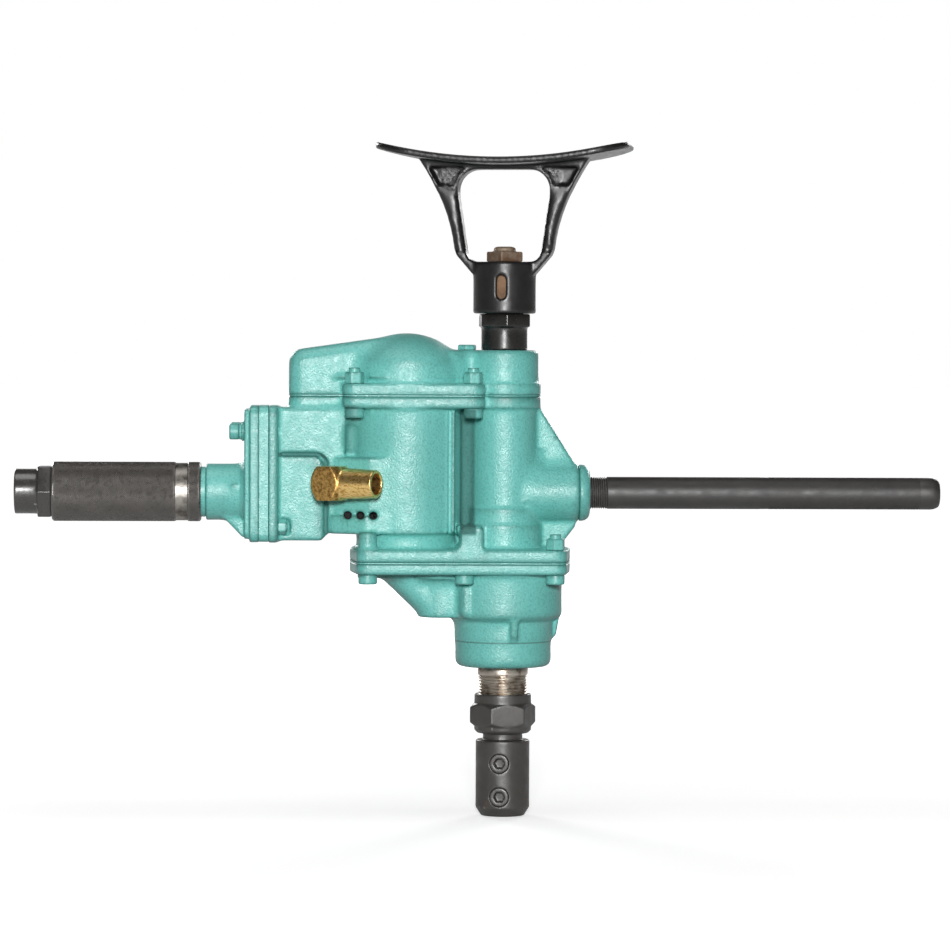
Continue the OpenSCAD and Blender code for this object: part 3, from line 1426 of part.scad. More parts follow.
module low_bearing_ring() {
    color(steel) up(low_bearing_z + low_bearing_w) difference() {
        tube(low_bearing_d + 2 * ring_lip - 0.2, low_bearing_d - 6, ring_t);
        translate([-4, 0, -1]) cube([8, low_bearing_d, ring_t + 2]);
    }
}

module top_bearing_outer() {
    color(steel) up(top_bearing_z)
        race_outer(top_bearing_d, top_journal_d, top_bearing_w, 8);
}

module top_bearing_inner() {
    color(steel) up(top_bearing_z) race_inner(top_bearing_d, top_journal_d, top_bearing_w);
}

// Idler

module idler_shaft() {
    toward_spindle = atan2(-idler_y, -idler_x);
    foot = idler_seat_z + 1;
    color(steel) at_idler() difference() {
        union() {
            up(foot)
                cylinder(d = idler_journal_d, h = joint1_z + gasket_t / 2 + idler_bush_t - foot - 1);
            up(chamber_floor_z + 1) rotate([0, 0, toward_spindle + 180 / idler_pinion_teeth])
                linear_extrude(idler_gear_z - chamber_floor_z - 1)
                    polygon(gear_points(idler_pinion_teeth, spindle_module));
        }
    }
}

module idler_gear() {
    toward_motor = atan2(-idler_y, motor_x - idler_x);
    color(steel) at_idler(idler_gear_z) difference() {
        rotate([0, 0, toward_motor]) linear_extrude(idler_gear_t)
            polygon(gear_points(idler_gear_teeth, motor_module));
        up(-1) cylinder(d = idler_journal_d + 2 * seat_gap, h = idler_gear_t + 2);
    }
}

module idler_low_bush() {
    color(bronze) at_idler(idler_seat_z) difference() {
        cylinder(d = idler_bush_d - 2 * seat_gap, h = idler_bush_t - 0.2);
        up(1 - face_gap) cylinder(d = idler_journal_d + 2 * run_gap, h = 30);
    }
}

module idler_top_bush() {
    color(bronze) at_idler(joint1_z + gasket_t / 2)
        tube(idler_bush_d - 2 * seat_gap, idler_journal_d + 2 * run_gap, idler_bush_t);
}

// Motor

module rotor() {
    slot_r0 = rotor_d / 2 - vane_w - 1;
    low_z = motor_floor_z - 1;
    color(steel) at_motor() difference() {
        union() {
            up(cylinder_z + face_gap) cylinder(d = rotor_d, h = cylinder_l - 2 * face_gap);
            up(low_z)
                cylinder(d = rotor_bearing_bore - 2 * seat_gap, h = motor_top_z - low_z - 1);
            up(idler_gear_z - 0.5)
                cylinder(d = rotor_shaft_d, h = low_z - idler_gear_z + 1);
        }
        for (i = [0 : vanes - 1]) rotate([0, 0, i * 360 / vanes])
            translate([slot_r0, -vane_t / 2 - 0.1, cylinder_z]) cube([rotor_d, vane_t + 0.2, cylinder_l]);
    }
}

module vane_set() {
    slot_r0 = rotor_d / 2 - vane_w - 0.6;
    color(rust) at_motor(cylinder_z + face_gap) for (i = [0 : vanes - 1]) rotate([0, 0, i * 360 / vanes])
        translate([slot_r0, -vane_t / 2, 0]) cube([vane_w, vane_t, cylinder_l - 2 * face_gap]);
}

module motor_pinion() {
    toward_idler = atan2(idler_y, idler_x - motor_x);
    color(steel) at_motor(idler_gear_z - 0.5) difference() {
        rotate([0, 0, toward_idler + 180 / motor_pinion_teeth]) linear_extrude(idler_gear_t + 1)
            polygon(gear_points(motor_pinion_teeth, motor_module));
        up(-1) cylinder(d = rotor_shaft_d + 2 * seat_gap, h = idler_gear_t + 3);
    }
}

module motor_cylinder() {
    color(steel) at_motor(cylinder_z) difference() {
        cylinder(d = cylinder_d - 2 * seat_gap, h = cylinder_l);
        translate([0, rotor_offset, -1]) cylinder(d = cylinder_bore, h = cylinder_l + 2);
        // Exhaust ports through the wall towards the elbow
        for (z = [cylinder_l * 0.25, cylinder_l * 0.5, cylinder_l * 0.75]) up(z)
            rotate([0, 0, 180]) rotate([0, 90, 0]) cylinder(d = 8, h = cylinder_d);
    }
}

module end_plate(z, bearing_z) {
    at_motor() difference() {
        up(z) cylinder(d = cylinder_d - 2 * seat_gap, h = end_plate_t);
        up(z - 1) cylinder(d = rotor_bearing_bore + 4, h = end_plate_t + 2);
        up(bearing_z) cylinder(d = rotor_bearing_d, h = rotor_bearing_w);
    }
}

module low_end_plate() {
    color(steel) end_plate(motor_floor_z, low_rotor_bearing_z);
}

module top_end_plate() {
    color(steel) end_plate(top_plate_z, top_rotor_bearing_z);
}

module rotor_bearing_outers() {
    color(steel) for (z = [low_rotor_bearing_z, top_rotor_bearing_z]) at_motor(z)
        race_outer(rotor_bearing_d, rotor_bearing_bore, rotor_bearing_w, 8);
}

module rotor_bearing_inners() {
    color(steel) for (z = [low_rotor_bearing_z, top_rotor_bearing_z]) at_motor(z)
        race_inner(rotor_bearing_d, rotor_bearing_bore, rotor_bearing_w);
}

main_housing();
gear_case();
top_cap();
cap_gasket();
case_gasket();
oil_plug();
cap_screws();
cap_nuts();
case_screws();
case_bolts();
case_nuts();
port_plate();
handle_base();
handle_screws();
handle_washers();
handle_studs();
handle_nuts();
inlet_bushing();
throttle_sleeve();
throttle_valve();
drive_pin();
boss_ring();
pipe_handle();
exhaust_elbow();
stem();
plate_screw();
breast_plate();
hub_bush();
spindle();
lock_nut();
chuck();
set_screw_lower();
set_screw_upper();
spindle_gear();
spindle_key();
gear_ring();
spindle_seal();
low_bearing_outer();
low_bearing_inner();
low_bearing_ring();
top_bearing_outer();
top_bearing_inner();
idler_shaft();
idler_gear();
idler_low_bush();
idler_top_bush();
rotor();
vane_set();
motor_pinion();
motor_cylinder();
low_end_plate();
top_end_plate();
rotor_bearing_outers();
rotor_bearing_inners();
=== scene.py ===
"""Looks of a heavy air drill for boring wood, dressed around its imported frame. Lengths are metres."""

import json
import math

import bpy
import numpy as np
import openvdb
from mathutils import Matrix, Vector


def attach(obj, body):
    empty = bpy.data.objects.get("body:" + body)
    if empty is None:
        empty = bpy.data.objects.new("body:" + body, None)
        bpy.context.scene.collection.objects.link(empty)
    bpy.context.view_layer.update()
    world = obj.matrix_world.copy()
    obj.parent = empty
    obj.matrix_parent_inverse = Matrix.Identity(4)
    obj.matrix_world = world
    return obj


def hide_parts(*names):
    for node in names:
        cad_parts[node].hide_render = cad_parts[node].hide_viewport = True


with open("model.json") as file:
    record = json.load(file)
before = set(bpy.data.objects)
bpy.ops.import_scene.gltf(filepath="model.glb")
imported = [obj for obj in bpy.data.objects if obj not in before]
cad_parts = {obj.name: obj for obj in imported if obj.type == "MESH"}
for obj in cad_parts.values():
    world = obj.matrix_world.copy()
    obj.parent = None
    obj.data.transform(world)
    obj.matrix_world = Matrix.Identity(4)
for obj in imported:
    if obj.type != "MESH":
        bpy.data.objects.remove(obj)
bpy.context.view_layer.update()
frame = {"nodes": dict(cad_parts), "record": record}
cad = frame["nodes"]
body_of = {n: b for b, names in frame["record"]["behaviour"]["bodies"].items() for n in names}
MM = 0.001

# Places on the castings, in millimetres: the joints' heights, the motor's and the handle's axes, the screws
# of the cap, the groove round the chest's pad as its corner and radius, the line round the nose, the three
# exhaust holes, and where the elbow's square body ends
JOINT1, JOINT2 = 212.8, 350.4
MOTOR_X, HANDLE_Z = -81.14, 269.5
CAP_BOLTS = [(x, s * 38.0) for x in (MOTOR_X - 43.8, -27.0) for s in (-1, 1)]
PAD_CORNER, PAD_GROOVE_WIDTH = (-148.3, 301.0, 6), 1.5
CASE_GROOVE_Z, CASE_GROOVE_HALF = 146.2, 0.4
EXHAUST_HOLES_X, EXHAUST_HOLES_Z, EXHAUST_HOLE_R = (-130.14, -119.64, -109.14), 251.5, 3.0
ELBOW_END_X = -137
PLATE_POCKETS_X, PLATE_POCKETS_Z, PLATE_POCKET_R = (-42.5, 34.5), 533, 9

# Where shade is painted into the valleys between the chest and the barrel, and between the barrel and the
# column, each as x from and to, z from and to, fade beyond the higher x, and amount
SHADE_PAINTED_PLACES = [(-132, -128, 303, 341, 11, 0.58), (-36, -26, 238, 338, 2.5, 0.85)]

# Linear colours over the enamel: the painted shade of its valleys and the pad's groove, the painted shade of
# the groove round the nose, and soot with painted shade round the exhaust holes, then primer and rust
PAINTED_SHADE_TINT = (0.20, 0.27, 0.26, 1)
GROOVE_SHADE = (0.05, 0.10, 0.09, 1)
SOOT_AND_SHADE_TINT = (0.03, 0.035, 0.03, 1)
PRIMER = (0.10, 0.085, 0.06, 1)
RUST = (0.085, 0.046, 0.024, 1)


def grey(value):
    return value, value, value, 1


class Look:
    """A node material. Constant values go straight onto the shader's sockets."""

    def __init__(self, name, **values):
        self.material = bpy.data.materials.new(name)
        self.material.use_nodes = True
        self.tree = self.material.node_tree
        self.shader = self.tree.nodes["Principled BSDF"]
        for key, value in values.items():
            self.shader.inputs[key.replace("_", " ")].default_value = value
        self.place = self.node("ShaderNodeTexCoord").outputs["Object"]

    def node(self, kind, **settings):
        made = self.tree.nodes.new(kind)
        for key, value in settings.items():
            setattr(made, key, value)
        return made

    def link(self, source, target):
        if hasattr(source, "is_linked"):
            self.tree.links.new(source, target)
        else:
            target.default_value = source

    def math(self, operation, *values):
        made = self.node("ShaderNodeMath", operation=operation)
        for socket, value in zip(made.inputs, values):
            self.link(value, socket)
        return made.outputs[0]

    def noise(self, size, detail=2.0, roughness=0.5, place=None):
        """Fractal noise whose largest lumps are about size across."""
        made = self.node("ShaderNodeTexNoise")
        made.inputs["Scale"].default_value = 0.5 / size
        made.inputs["Detail"].default_value = detail
        made.inputs["Roughness"].default_value = roughness
        self.link(place or self.place, made.inputs["Vector"])
        return made.outputs["Fac"]

    def stretched(self, x, y, z):
        """Object coordinates scaled per axis, for streaks and turning marks."""
        made = self.node("ShaderNodeMapping")
        made.inputs["Scale"].default_value = (x, y, z)
        self.link(self.place, made.inputs["Vector"])
        return made.outputs["Vector"]

    def between(self, axis, low, high, edge=2.5, far_edge=None):
        """1 where the object's coordinate lies between low and high millimetres, fading over edge outside,
        or over far_edge beyond high."""
        split = self.node("ShaderNodeSeparateXYZ")
        self.link(self.place, split.inputs[0])
        parts = []
        for start, end in ((low - edge, low), (high + (far_edge or edge), high)):
            made = self.node("ShaderNodeMapRange", interpolation_type="SMOOTHSTEP")
            self.link(split.outputs[axis.upper()], made.inputs["Value"])
            made.inputs["From Min"].default_value = start * MM
            made.inputs["From Max"].default_value = end * MM
            parts.append(made.outputs["Result"])
        return self.math("MULTIPLY", *parts)

    def disc(self, x, z, radius, edge):
        """1 within radius of x and z, in millimetres, seen along y."""
        flat = self.node("ShaderNodeVectorMath", operation="MULTIPLY")
        self.link(self.place, flat.inputs[0])
        flat.inputs[1].default_value = (1, 0, 1)
        apart = self.node("ShaderNodeVectorMath", operation="DISTANCE")
        self.link(flat.outputs[0], apart.inputs[0])
        apart.inputs[1].default_value = (x * MM, 0, z * MM)
        made = self.node("ShaderNodeMapRange", interpolation_type="SMOOTHSTEP")
        self.link(apart.outputs["Value"], made.inputs["Value"])
        made.inputs["From Min"].default_value = (radius + edge) * MM
        made.inputs["From Max"].default_value = radius * MM
        return made.outputs["Result"]

    def round_corner(self, x, z, radius, width):
        """1 within width of the line that comes along z, turns with the radius and goes on along x, towards
        lower x and z, in millimetres."""
        split = self.node("ShaderNodeSeparateXYZ")
        self.link(self.place, split.inputs[0])
        aside = self.math("ADD", split.outputs["X"], (radius - x) * MM)
        above = self.math("ADD", split.outputs["Z"], (radius - z) * MM)
        beyond = self.node("ShaderNodeCombineXYZ")
        self.link(self.math("MAXIMUM", aside, 0.0), beyond.inputs["X"])
        self.link(self.math("MAXIMUM", above, 0.0), beyond.inputs["Z"])
        apart = self.node("ShaderNodeVectorMath", operation="LENGTH")
        self.link(beyond.outputs[0], apart.inputs[0])
        within = self.math("MINIMUM", self.math("MAXIMUM", aside, above), 0.0)
        distance = self.math("SUBTRACT", self.math("ADD", apart.outputs["Value"], within), radius * MM)
        made = self.node("ShaderNodeMapRange", interpolation_type="SMOOTHSTEP")
        self.link(self.math("ABSOLUTE", distance), made.inputs["Value"])
        made.inputs["From Min"].default_value = 1.7 * width * MM
        made.inputs["From Max"].default_value = 0.7 * width * MM
        return made.outputs["Result"]

    def hollow(self, low=0.44, high=0.56):
        """0 in hollow corners, 1 on outer edges."""
        made = self.node("ShaderNodeMapRange")
        self.link(self.node("ShaderNodeNewGeometry").outputs["Pointiness"], made.inputs["Value"])
        made.inputs["From Min"].default_value = low
        made.inputs["From Max"].default_value = high
        return made.outputs["Result"]

    def ramp(self, value, *stops):
        """Colours or greys along value, each stop a pair of place and colour."""
        made = self.node("ShaderNodeValToRGB")
        points = made.color_ramp.elements
        while len(points) < len(stops):
            points.new(0.5)
        for point, (at, colour) in zip(points, stops):
            point.position = at
            point.color = (*colour, 1) if hasattr(colour, "__len__") else (colour, colour, colour, 1)
        self.link(value, made.inputs["Fac"])
        return made.outputs["Color"]

    def mix(self, amount, a, b, blend="MIX"):
        made = self.node("ShaderNodeMix", data_type="RGBA", blend_type=blend)
        self.link(amount, made.inputs["Factor"])
        self.link(a, made.inputs["A"])
        self.link(b, made.inputs["B"])
        return made.outputs["Result"]

    def colour(self, source):
        self.link(source, self.shader.inputs["Base Color"])

    def roughness(self, source):
        self.link(source, self.shader.inputs["Roughness"])

    def bump(self, *heights):
        """Stacks bumps, each a pair of height and its depth in metres."""
        last = None
        for height, depth in heights:
            made = self.node("ShaderNodeBump")
            made.inputs["Distance"].default_value = depth
            self.link(height, made.inputs["Height"])
            if last is not None:
                self.link(last, made.inputs["Normal"])
            last = made.outputs["Normal"]
        self.link(last, self.shader.inputs["Normal"])


def teal_enamel(name, lumps, grain):
    """Thick enamel over a pebbly casting, with painted shade in its hollows, valleys and grooves, painted
    light on its outer edges, black painted exhaust holes with soot and painted shade round them, and chipped
    in a few places."""
    look = Look(name, Specular_IOR_Level=0.75)
    mottled = look.ramp(look.noise(30 * MM, 3), (0.3, (0.150, 0.525, 0.475)), (0.7, (0.175, 0.585, 0.535)))
    # Painted shade in hollow corners and painted light on outer edges, by the surface's pointiness
    corners = look.ramp(
        look.hollow(), (0.05, (0.24, 0.32, 0.30)), (0.44, (1, 1, 1)), (0.9, (1.10, 1.05, 1.05)))
    pits = look.ramp(look.noise(0.9 * MM, 1), (0.32, (0.78, 0.82, 0.82)), (0.52, (1, 1, 1)))
    painted = look.mix(1.0, look.mix(1.0, mottled, corners, "MULTIPLY"), pits, "MULTIPLY")
    # Painted shade darkens the valleys between the chest and the barrel and between the barrel and the
    # column
    painted_shade = 0.0
    for x0, x1, z0, z1, fade, amount in SHADE_PAINTED_PLACES:
        here = look.math("MULTIPLY", look.between("x", x0, x1, 2, fade), look.between("z", z0, z1, 3))
        painted_shade = look.math("MAXIMUM", painted_shade, look.math("MULTIPLY", here, amount))
    # Painted shade in the groove round the chest's pad
    groove = look.math(
        "MULTIPLY", look.round_corner(*PAD_CORNER, PAD_GROOVE_WIDTH), look.between("x", -187, -140, 1))
    groove = look.math("MULTIPLY", groove, look.between("z", 236, 310))
    painted_shade = look.math("MAXIMUM", painted_shade, look.math("MULTIPLY", groove, 0.8))
    painted = look.mix(painted_shade, painted, PAINTED_SHADE_TINT, "MULTIPLY")
    line = look.between("z", CASE_GROOVE_Z - CASE_GROOVE_HALF, CASE_GROOVE_Z + CASE_GROOVE_HALF, 0.4)
    painted = look.mix(look.math("MULTIPLY", line, 0.6), painted, GROOVE_SHADE)
    # The exhaust holes are painted black for the shade inside them; round and just above them soot and
    # painted shade darken the enamel
    painted_hole_shade = soot_and_shade_spread = 0.0
    for x in EXHAUST_HOLES_X:
        painted_hole_shade = look.math("MAXIMUM", painted_hole_shade, look.disc(x, EXHAUST_HOLES_Z, EXHAUST_HOLE_R, 0.8))
        soot_and_shade_spread = look.math("MAXIMUM", soot_and_shade_spread, look.disc(x, EXHAUST_HOLES_Z + 2, 1.0, 9.0))
    front = look.between("y", -90, -15)
    painted_hole_shade = look.math("MULTIPLY", painted_hole_shade, front)
    soot_and_shade_spread = look.math("MULTIPLY", soot_and_shade_spread, front)
    soot_and_shade = look.ramp(look.math("ADD", soot_and_shade_spread, look.noise(3 * MM, 4, 0.6)), (1.05, 0.0), (1.55, 0.8))
    painted = look.mix(soot_and_shade, painted, SOOT_AND_SHADE_TINT)
    painted = look.mix(painted_hole_shade, painted, grey(0.006))
    chips = look.ramp(look.noise(6 * MM, 6, 0.74), (0.775, 0.0), (0.785, 1.0))
    look.colour(look.mix(chips, painted, PRIMER))
    shine = look.ramp(look.noise(3 * MM, 2), (0.3, 0.36), (0.7, 0.50))
    look.roughness(look.mix(look.math("MAXIMUM", painted_shade, painted_hole_shade), shine, grey(0.9)))
    look.bump((look.noise(2.6 * MM, 2), lumps), (look.noise(0.75 * MM, 1), grain))
    return look.material


def elbow_brass():
    """Cast brass, browned and speckled on its body and scraped bright on its round end."""
    look = Look("brass_elbow", Metallic=1.0)
    speckled = look.ramp(
        look.noise(1.2 * MM, 3, 0.7), (0.36, (0.22, 0.115, 0.035)), (0.58, (0.66, 0.41, 0.13)))
    scratches = look.noise(0.7 * MM, 3, 0.6, look.stretched(0.12, 1, 1))
    scraped = look.ramp(scratches, (0.36, (0.52, 0.27, 0.06)), (0.52, (1.0, 0.70, 0.27)))
    round_end = look.between("x", ELBOW_END_X, 0, 1.5)
    look.colour(look.mix(round_end, speckled, scraped))
    look.roughness(look.mix(round_end, grey(0.42), grey(0.33)))
    look.bump((look.noise(1.0 * MM, 2), 0.10 * MM), (scratches, 0.05 * MM))
    return look.material


def cast_gloss():
    """Gloss black enamel on the breast plate, crinkled in the pockets under its plate, with grey painted
    there for the crinkle's reflections.
    """
    look = Look("gloss_black_enamel", Specular_IOR_Level=0.5)
    pockets = look.between("z", 521, 539, 2)
    crinkle = look.noise(1.6 * MM, 3, 0.6)
    both = look.math("ADD", *(look.disc(x, PLATE_POCKETS_Z, PLATE_POCKET_R, 5) for x in PLATE_POCKETS_X))
    inside = look.math("MULTIPLY", pockets, both)
    # Grey speckles painted in the pockets stand for light reflected off the crinkled enamel
    grey = look.ramp(crinkle, (0.42, (0.010, 0.010, 0.010)), (0.60, (0.12, 0.12, 0.12)))
    black = look.ramp(look.noise(9 * MM, 3), (0.3, (0.006, 0.006, 0.006)), (0.7, (0.012, 0.012, 0.012)))
    look.colour(look.mix(inside, black, grey))
    look.roughness(look.ramp(look.noise(3 * MM, 3), (0.3, 0.30), (0.7, 0.42)))
    look.bump((look.noise(2.5 * MM, 2), 0.03 * MM), (look.math("MULTIPLY", crinkle, inside), 0.9 * MM))
    return look.material


def knurled_black():
    """Parkerised steel, darker in the knurl's valleys and rubbed on its points."""
    look = Look("parkerised_steel", Specular_IOR_Level=1.0, Metallic=0.4)
    points = look.ramp(look.hollow(0.46, 0.54), (0.15, (0.06, 0.055, 0.05)), (0.9, (0.15, 0.138, 0.125)))
    patches = look.ramp(look.noise(8 * MM, 4, 0.7), (0.3, 0.65), (0.7, 1.0))
    look.colour(look.mix(1.0, points, patches, "MULTIPLY"))
    look.roughness(look.ramp(look.noise(2 * MM, 3), (0.3, 0.24), (0.7, 0.36)))
    return look.material


def black_oxide(name, shade, rough, grain, worn=None, rust=0.0, level=0.6):
    """Dark steel whose edges are rubbed bright, with brown rust in patches."""
    look = Look(name, Roughness=rough, Specular_IOR_Level=level)
    base = look.ramp(look.noise(12 * MM, 4, 0.6), (0.3, tuple(0.6 * c for c in shade)), (0.7, shade))
    if rust:
        spots = look.ramp(look.noise(5 * MM, 6, 0.7), (0.62 - rust, 0.0), (0.70 - rust, 1.0))
        base = look.mix(spots, base, RUST)
    if worn:
        uneven = look.math("MULTIPLY", look.noise(2 * MM, 4, 0.7), 0.7)
        scuffs = look.math("ADD", look.hollow(0.50, 0.60), uneven)
        base = look.mix(look.ramp(scuffs, (0.62, 0.0), (0.90, 1.0)), base, (*worn, 1))
    look.colour(base)
    look.roughness(look.ramp(look.noise(5 * MM, 3), (0.3, rough - 0.06), (0.7, rough + 0.1)))
    look.bump((look.noise(3 * MM, 3, 0.6), 2 * grain), (look.noise(0.8 * MM, 2), grain))
    return look.material


def bare_metal(name, colour, rough, stain, grain=0.02 * MM, spread=(0.35, 0.6), metallic=1.0, size=6 * MM):
    """Bare metal of a colour, going over to its stain in patches of about size."""
    look = Look(name, Metallic=metallic, Roughness=rough)
    look.colour(look.ramp(look.noise(size, 5, 0.68), (spread[0], stain), (spread[1], colour)))
    look.roughness(look.ramp(look.noise(3 * MM, 3), (0.3, rough - 0.06), (0.7, rough + 0.12)))
    look.bump((look.noise(0.9 * MM, 2), grain))
    return look.material


looks = {
    "teal": teal_enamel("teal_enamel", 0.16 * MM, 0.34 * MM),
    "nuts": teal_enamel("teal_fasteners", 0.02 * MM, 0.08 * MM),
    "sleeve": knurled_black(),
    "inlet": black_oxide(
        "blued_steel", (0.050, 0.047, 0.044), 0.24, 0.02 * MM, (0.24, 0.23, 0.22), level=1.0),
    "pipe": black_oxide(
        "blued_pipe", (0.030, 0.028, 0.026), 0.50, 0.05 * MM, (0.12, 0.11, 0.10), level=0.8),
    "gloss": cast_gloss(),
    "stem": black_oxide("polished_black", (0.014, 0.013, 0.012), 0.26, 0.02 * MM, (0.08, 0.07, 0.06)),
    "oxide": black_oxide(
        "black_oxide", (0.046, 0.042, 0.038), 0.42, 0.06 * MM, (0.20, 0.19, 0.18), 0.02, level=1.0),
    "steel": bare_metal("ground_steel", (0.56, 0.55, 0.53), 0.28, (0.46, 0.44, 0.42)),
    "worn": bare_metal(
        "worn_steel", (0.56, 0.51, 0.45), 0.36, (0.17, 0.12, 0.075), 0.06 * MM, (0.38, 0.56)),
    "groove": bare_metal(
        "scraped_steel", (0.36, 0.34, 0.31), 0.38, (0.10, 0.09, 0.08), 0.10 * MM, (0.38, 0.62)),
    "elbow": elbow_brass(),
    "rusty": bare_metal(
        "rusty_steel", (0.30, 0.23, 0.17), 0.60, (0.17, 0.10, 0.06), 0.16 * MM, (0.40, 0.62), 0.3),
    "brass": bare_metal(
        "brass", (0.62, 0.38, 0.11), 0.38, (0.24, 0.12, 0.03), 0.12 * MM, (0.40, 0.60), size=1.8 * MM),
    "tan": bare_metal(
        "rusted_slot", (0.26, 0.15, 0.08), 0.70, (0.13, 0.07, 0.035), 0.20 * MM, (0.35, 0.60), 0.0),
    "bronze": bare_metal("bronze", (0.50, 0.32, 0.15), 0.40, (0.36, 0.21, 0.10)),
    "rubber": black_oxide("seal_rubber", (0.018, 0.018, 0.018), 0.60, 0.02 * MM),
    "vane": black_oxide("vane_plastic", (0.16, 0.09, 0.05), 0.50, 0.02 * MM),
}


def arrays(obj):
    """Points in millimetres and triangles of a CAD node, with doubled corners merged."""
    mesh = obj.data
    mesh.calc_loop_triangles()
    points = np.empty(len(mesh.vertices) * 3, np.float32)
    mesh.vertices.foreach_get("co", points)
    corners = np.empty(len(mesh.loop_triangles) * 3, np.int32)
    mesh.loop_triangles.foreach_get("vertices", corners)
    points = points.reshape(-1, 3) / MM
    _, first, back = np.unique(np.round(points, 3), axis=0, return_index=True, return_inverse=True)
    return points[first], back.reshape(-1)[corners].reshape(-1, 3).astype(np.uint32)


def level_set(points, voxel, band, **faces):
    return openvdb.FloatGrid.createLevelSetFromPolygons(
        points, transform=openvdb.createLinearTransform(voxel), halfWidth=band / voxel + 3, **faces)


def reshaped(shape, voxel, fill, soften):
    """Distances to the shape with hollow corners filled to radius fill and outer edges rounded to radius
    soften, in millimetres, as a block of voxels and its lowest corner."""
    grid = level_set(shape[0], voxel, fill, triangles=shape[1])
    points, quads = grid.convertToQuads(isovalue=fill)
    grid = level_set(points, voxel, fill + soften, quads=quads)
    points, quads = grid.convertToQuads(isovalue=-fill - soften)
    grid = level_set(points, voxel, soften, quads=quads)
    low = np.floor(shape[0].min(axis=0) / voxel).astype(int) - 4
    high = np.ceil(shape[0].max(axis=0) / voxel).astype(int) + 5
    block = np.empty(high - low, np.float32)
    grid.copyToArray(block, ijk=tuple(low.tolist()))
    return block - soften, low


def resampled(block, low, voxel, places):
    """Values of a block at the places along x, y and z in millimetres."""
    for axis, at in enumerate(places):
        at = at / voxel - low[axis]
        first = np.clip(np.floor(at).astype(int), 0, block.shape[axis] - 2)
        share = np.clip(at - first, 0, 1).astype(np.float32)
        share = share.reshape([-1 if k == axis else 1 for k in range(3)])
        block = np.take(block, first, axis) * (1 - share) + np.take(block, first + 1, axis) * share
    return block


def softened(node, look, slot, voxel, fill, soften, *places, smooth=2, adaptivity=0.02):
    """Stands for a CAD node, with the round edges and filled corners of a casting. Each of places is
    another voxel, fill and soften, and a function of x, y and z in millimetres that is 1 where they hold."""
    shape = arrays(cad[node])
    block, low = reshaped(shape, voxel, fill, soften)
    axes = [(np.arange(n) + a) * voxel for a, n in zip(low, block.shape)]
    for other_voxel, other_fill, other_soften, where in places:
        share = np.broadcast_to(where(*np.ix_(*axes)), block.shape)
        held = [np.flatnonzero(share.max(axis=across) > 0) for across in ((1, 2), (0, 2), (0, 1))]
        part = tuple(slice(h[0], h[-1] + 1) for h in held)
        other, other_low = reshaped(shape, other_voxel, other_fill, other_soften)
        other = resampled(other, other_low, other_voxel, [a[p] for a, p in zip(axes, part)])
        block[part] += share[part].astype(np.float32) * (other - block[part])
    grid = openvdb.FloatGrid(3 * voxel)
    grid.copyFromArray(block, ijk=tuple(low.tolist()))
    grid.transform = openvdb.createLinearTransform(voxel)
    points, triangles, quads = grid.convertToPolygons(isovalue=0, adaptivity=adaptivity)
    faces = [tuple(f) for f in triangles[:, ::-1].tolist()] + [tuple(f) for f in quads[:, ::-1].tolist()]
    piece = new_piece("soft_" + node, points, faces, look, body_of[node], (node,))
    modifier = piece.modifiers.new("relax", "SMOOTH")
    modifier.factor = 0.5
    modifier.iterations = smooth
    applied(piece)


def new_piece(name, points, faces, look, body, nodes=()):
    """A mesh object from points in millimetres, riding on its body."""
    mesh = bpy.data.meshes.new(name)
    mesh.from_pydata((np.asarray(points) * MM).tolist(), [], faces)
    mesh.materials.append(looks[look])
    mesh.shade_smooth()
    piece = bpy.data.objects.new(name, mesh)
    bpy.context.scene.collection.objects.link(piece)
    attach(piece, body)
    if nodes:
        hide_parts(*nodes)
    return piece


def applied(piece):
    """Applies every modifier to the piece's mesh."""
    graph = bpy.context.evaluated_depsgraph_get()
    mesh = bpy.data.meshes.new_from_object(piece.evaluated_get(graph), depsgraph=graph)
    piece.modifiers.clear()
    piece.data = mesh


def step(value, low, high):
    """0 below low, 1 above high, and smooth between."""
    t = np.clip((value - low) / (high - low), 0, 1)
    return t * t * (3 - 2 * t)


def band(value, low, high, edge=3.0):
    """1 between low and high, and 0 from edge outside them."""
    return step(value, low - edge, low) * (1 - step(value, high, high + edge))


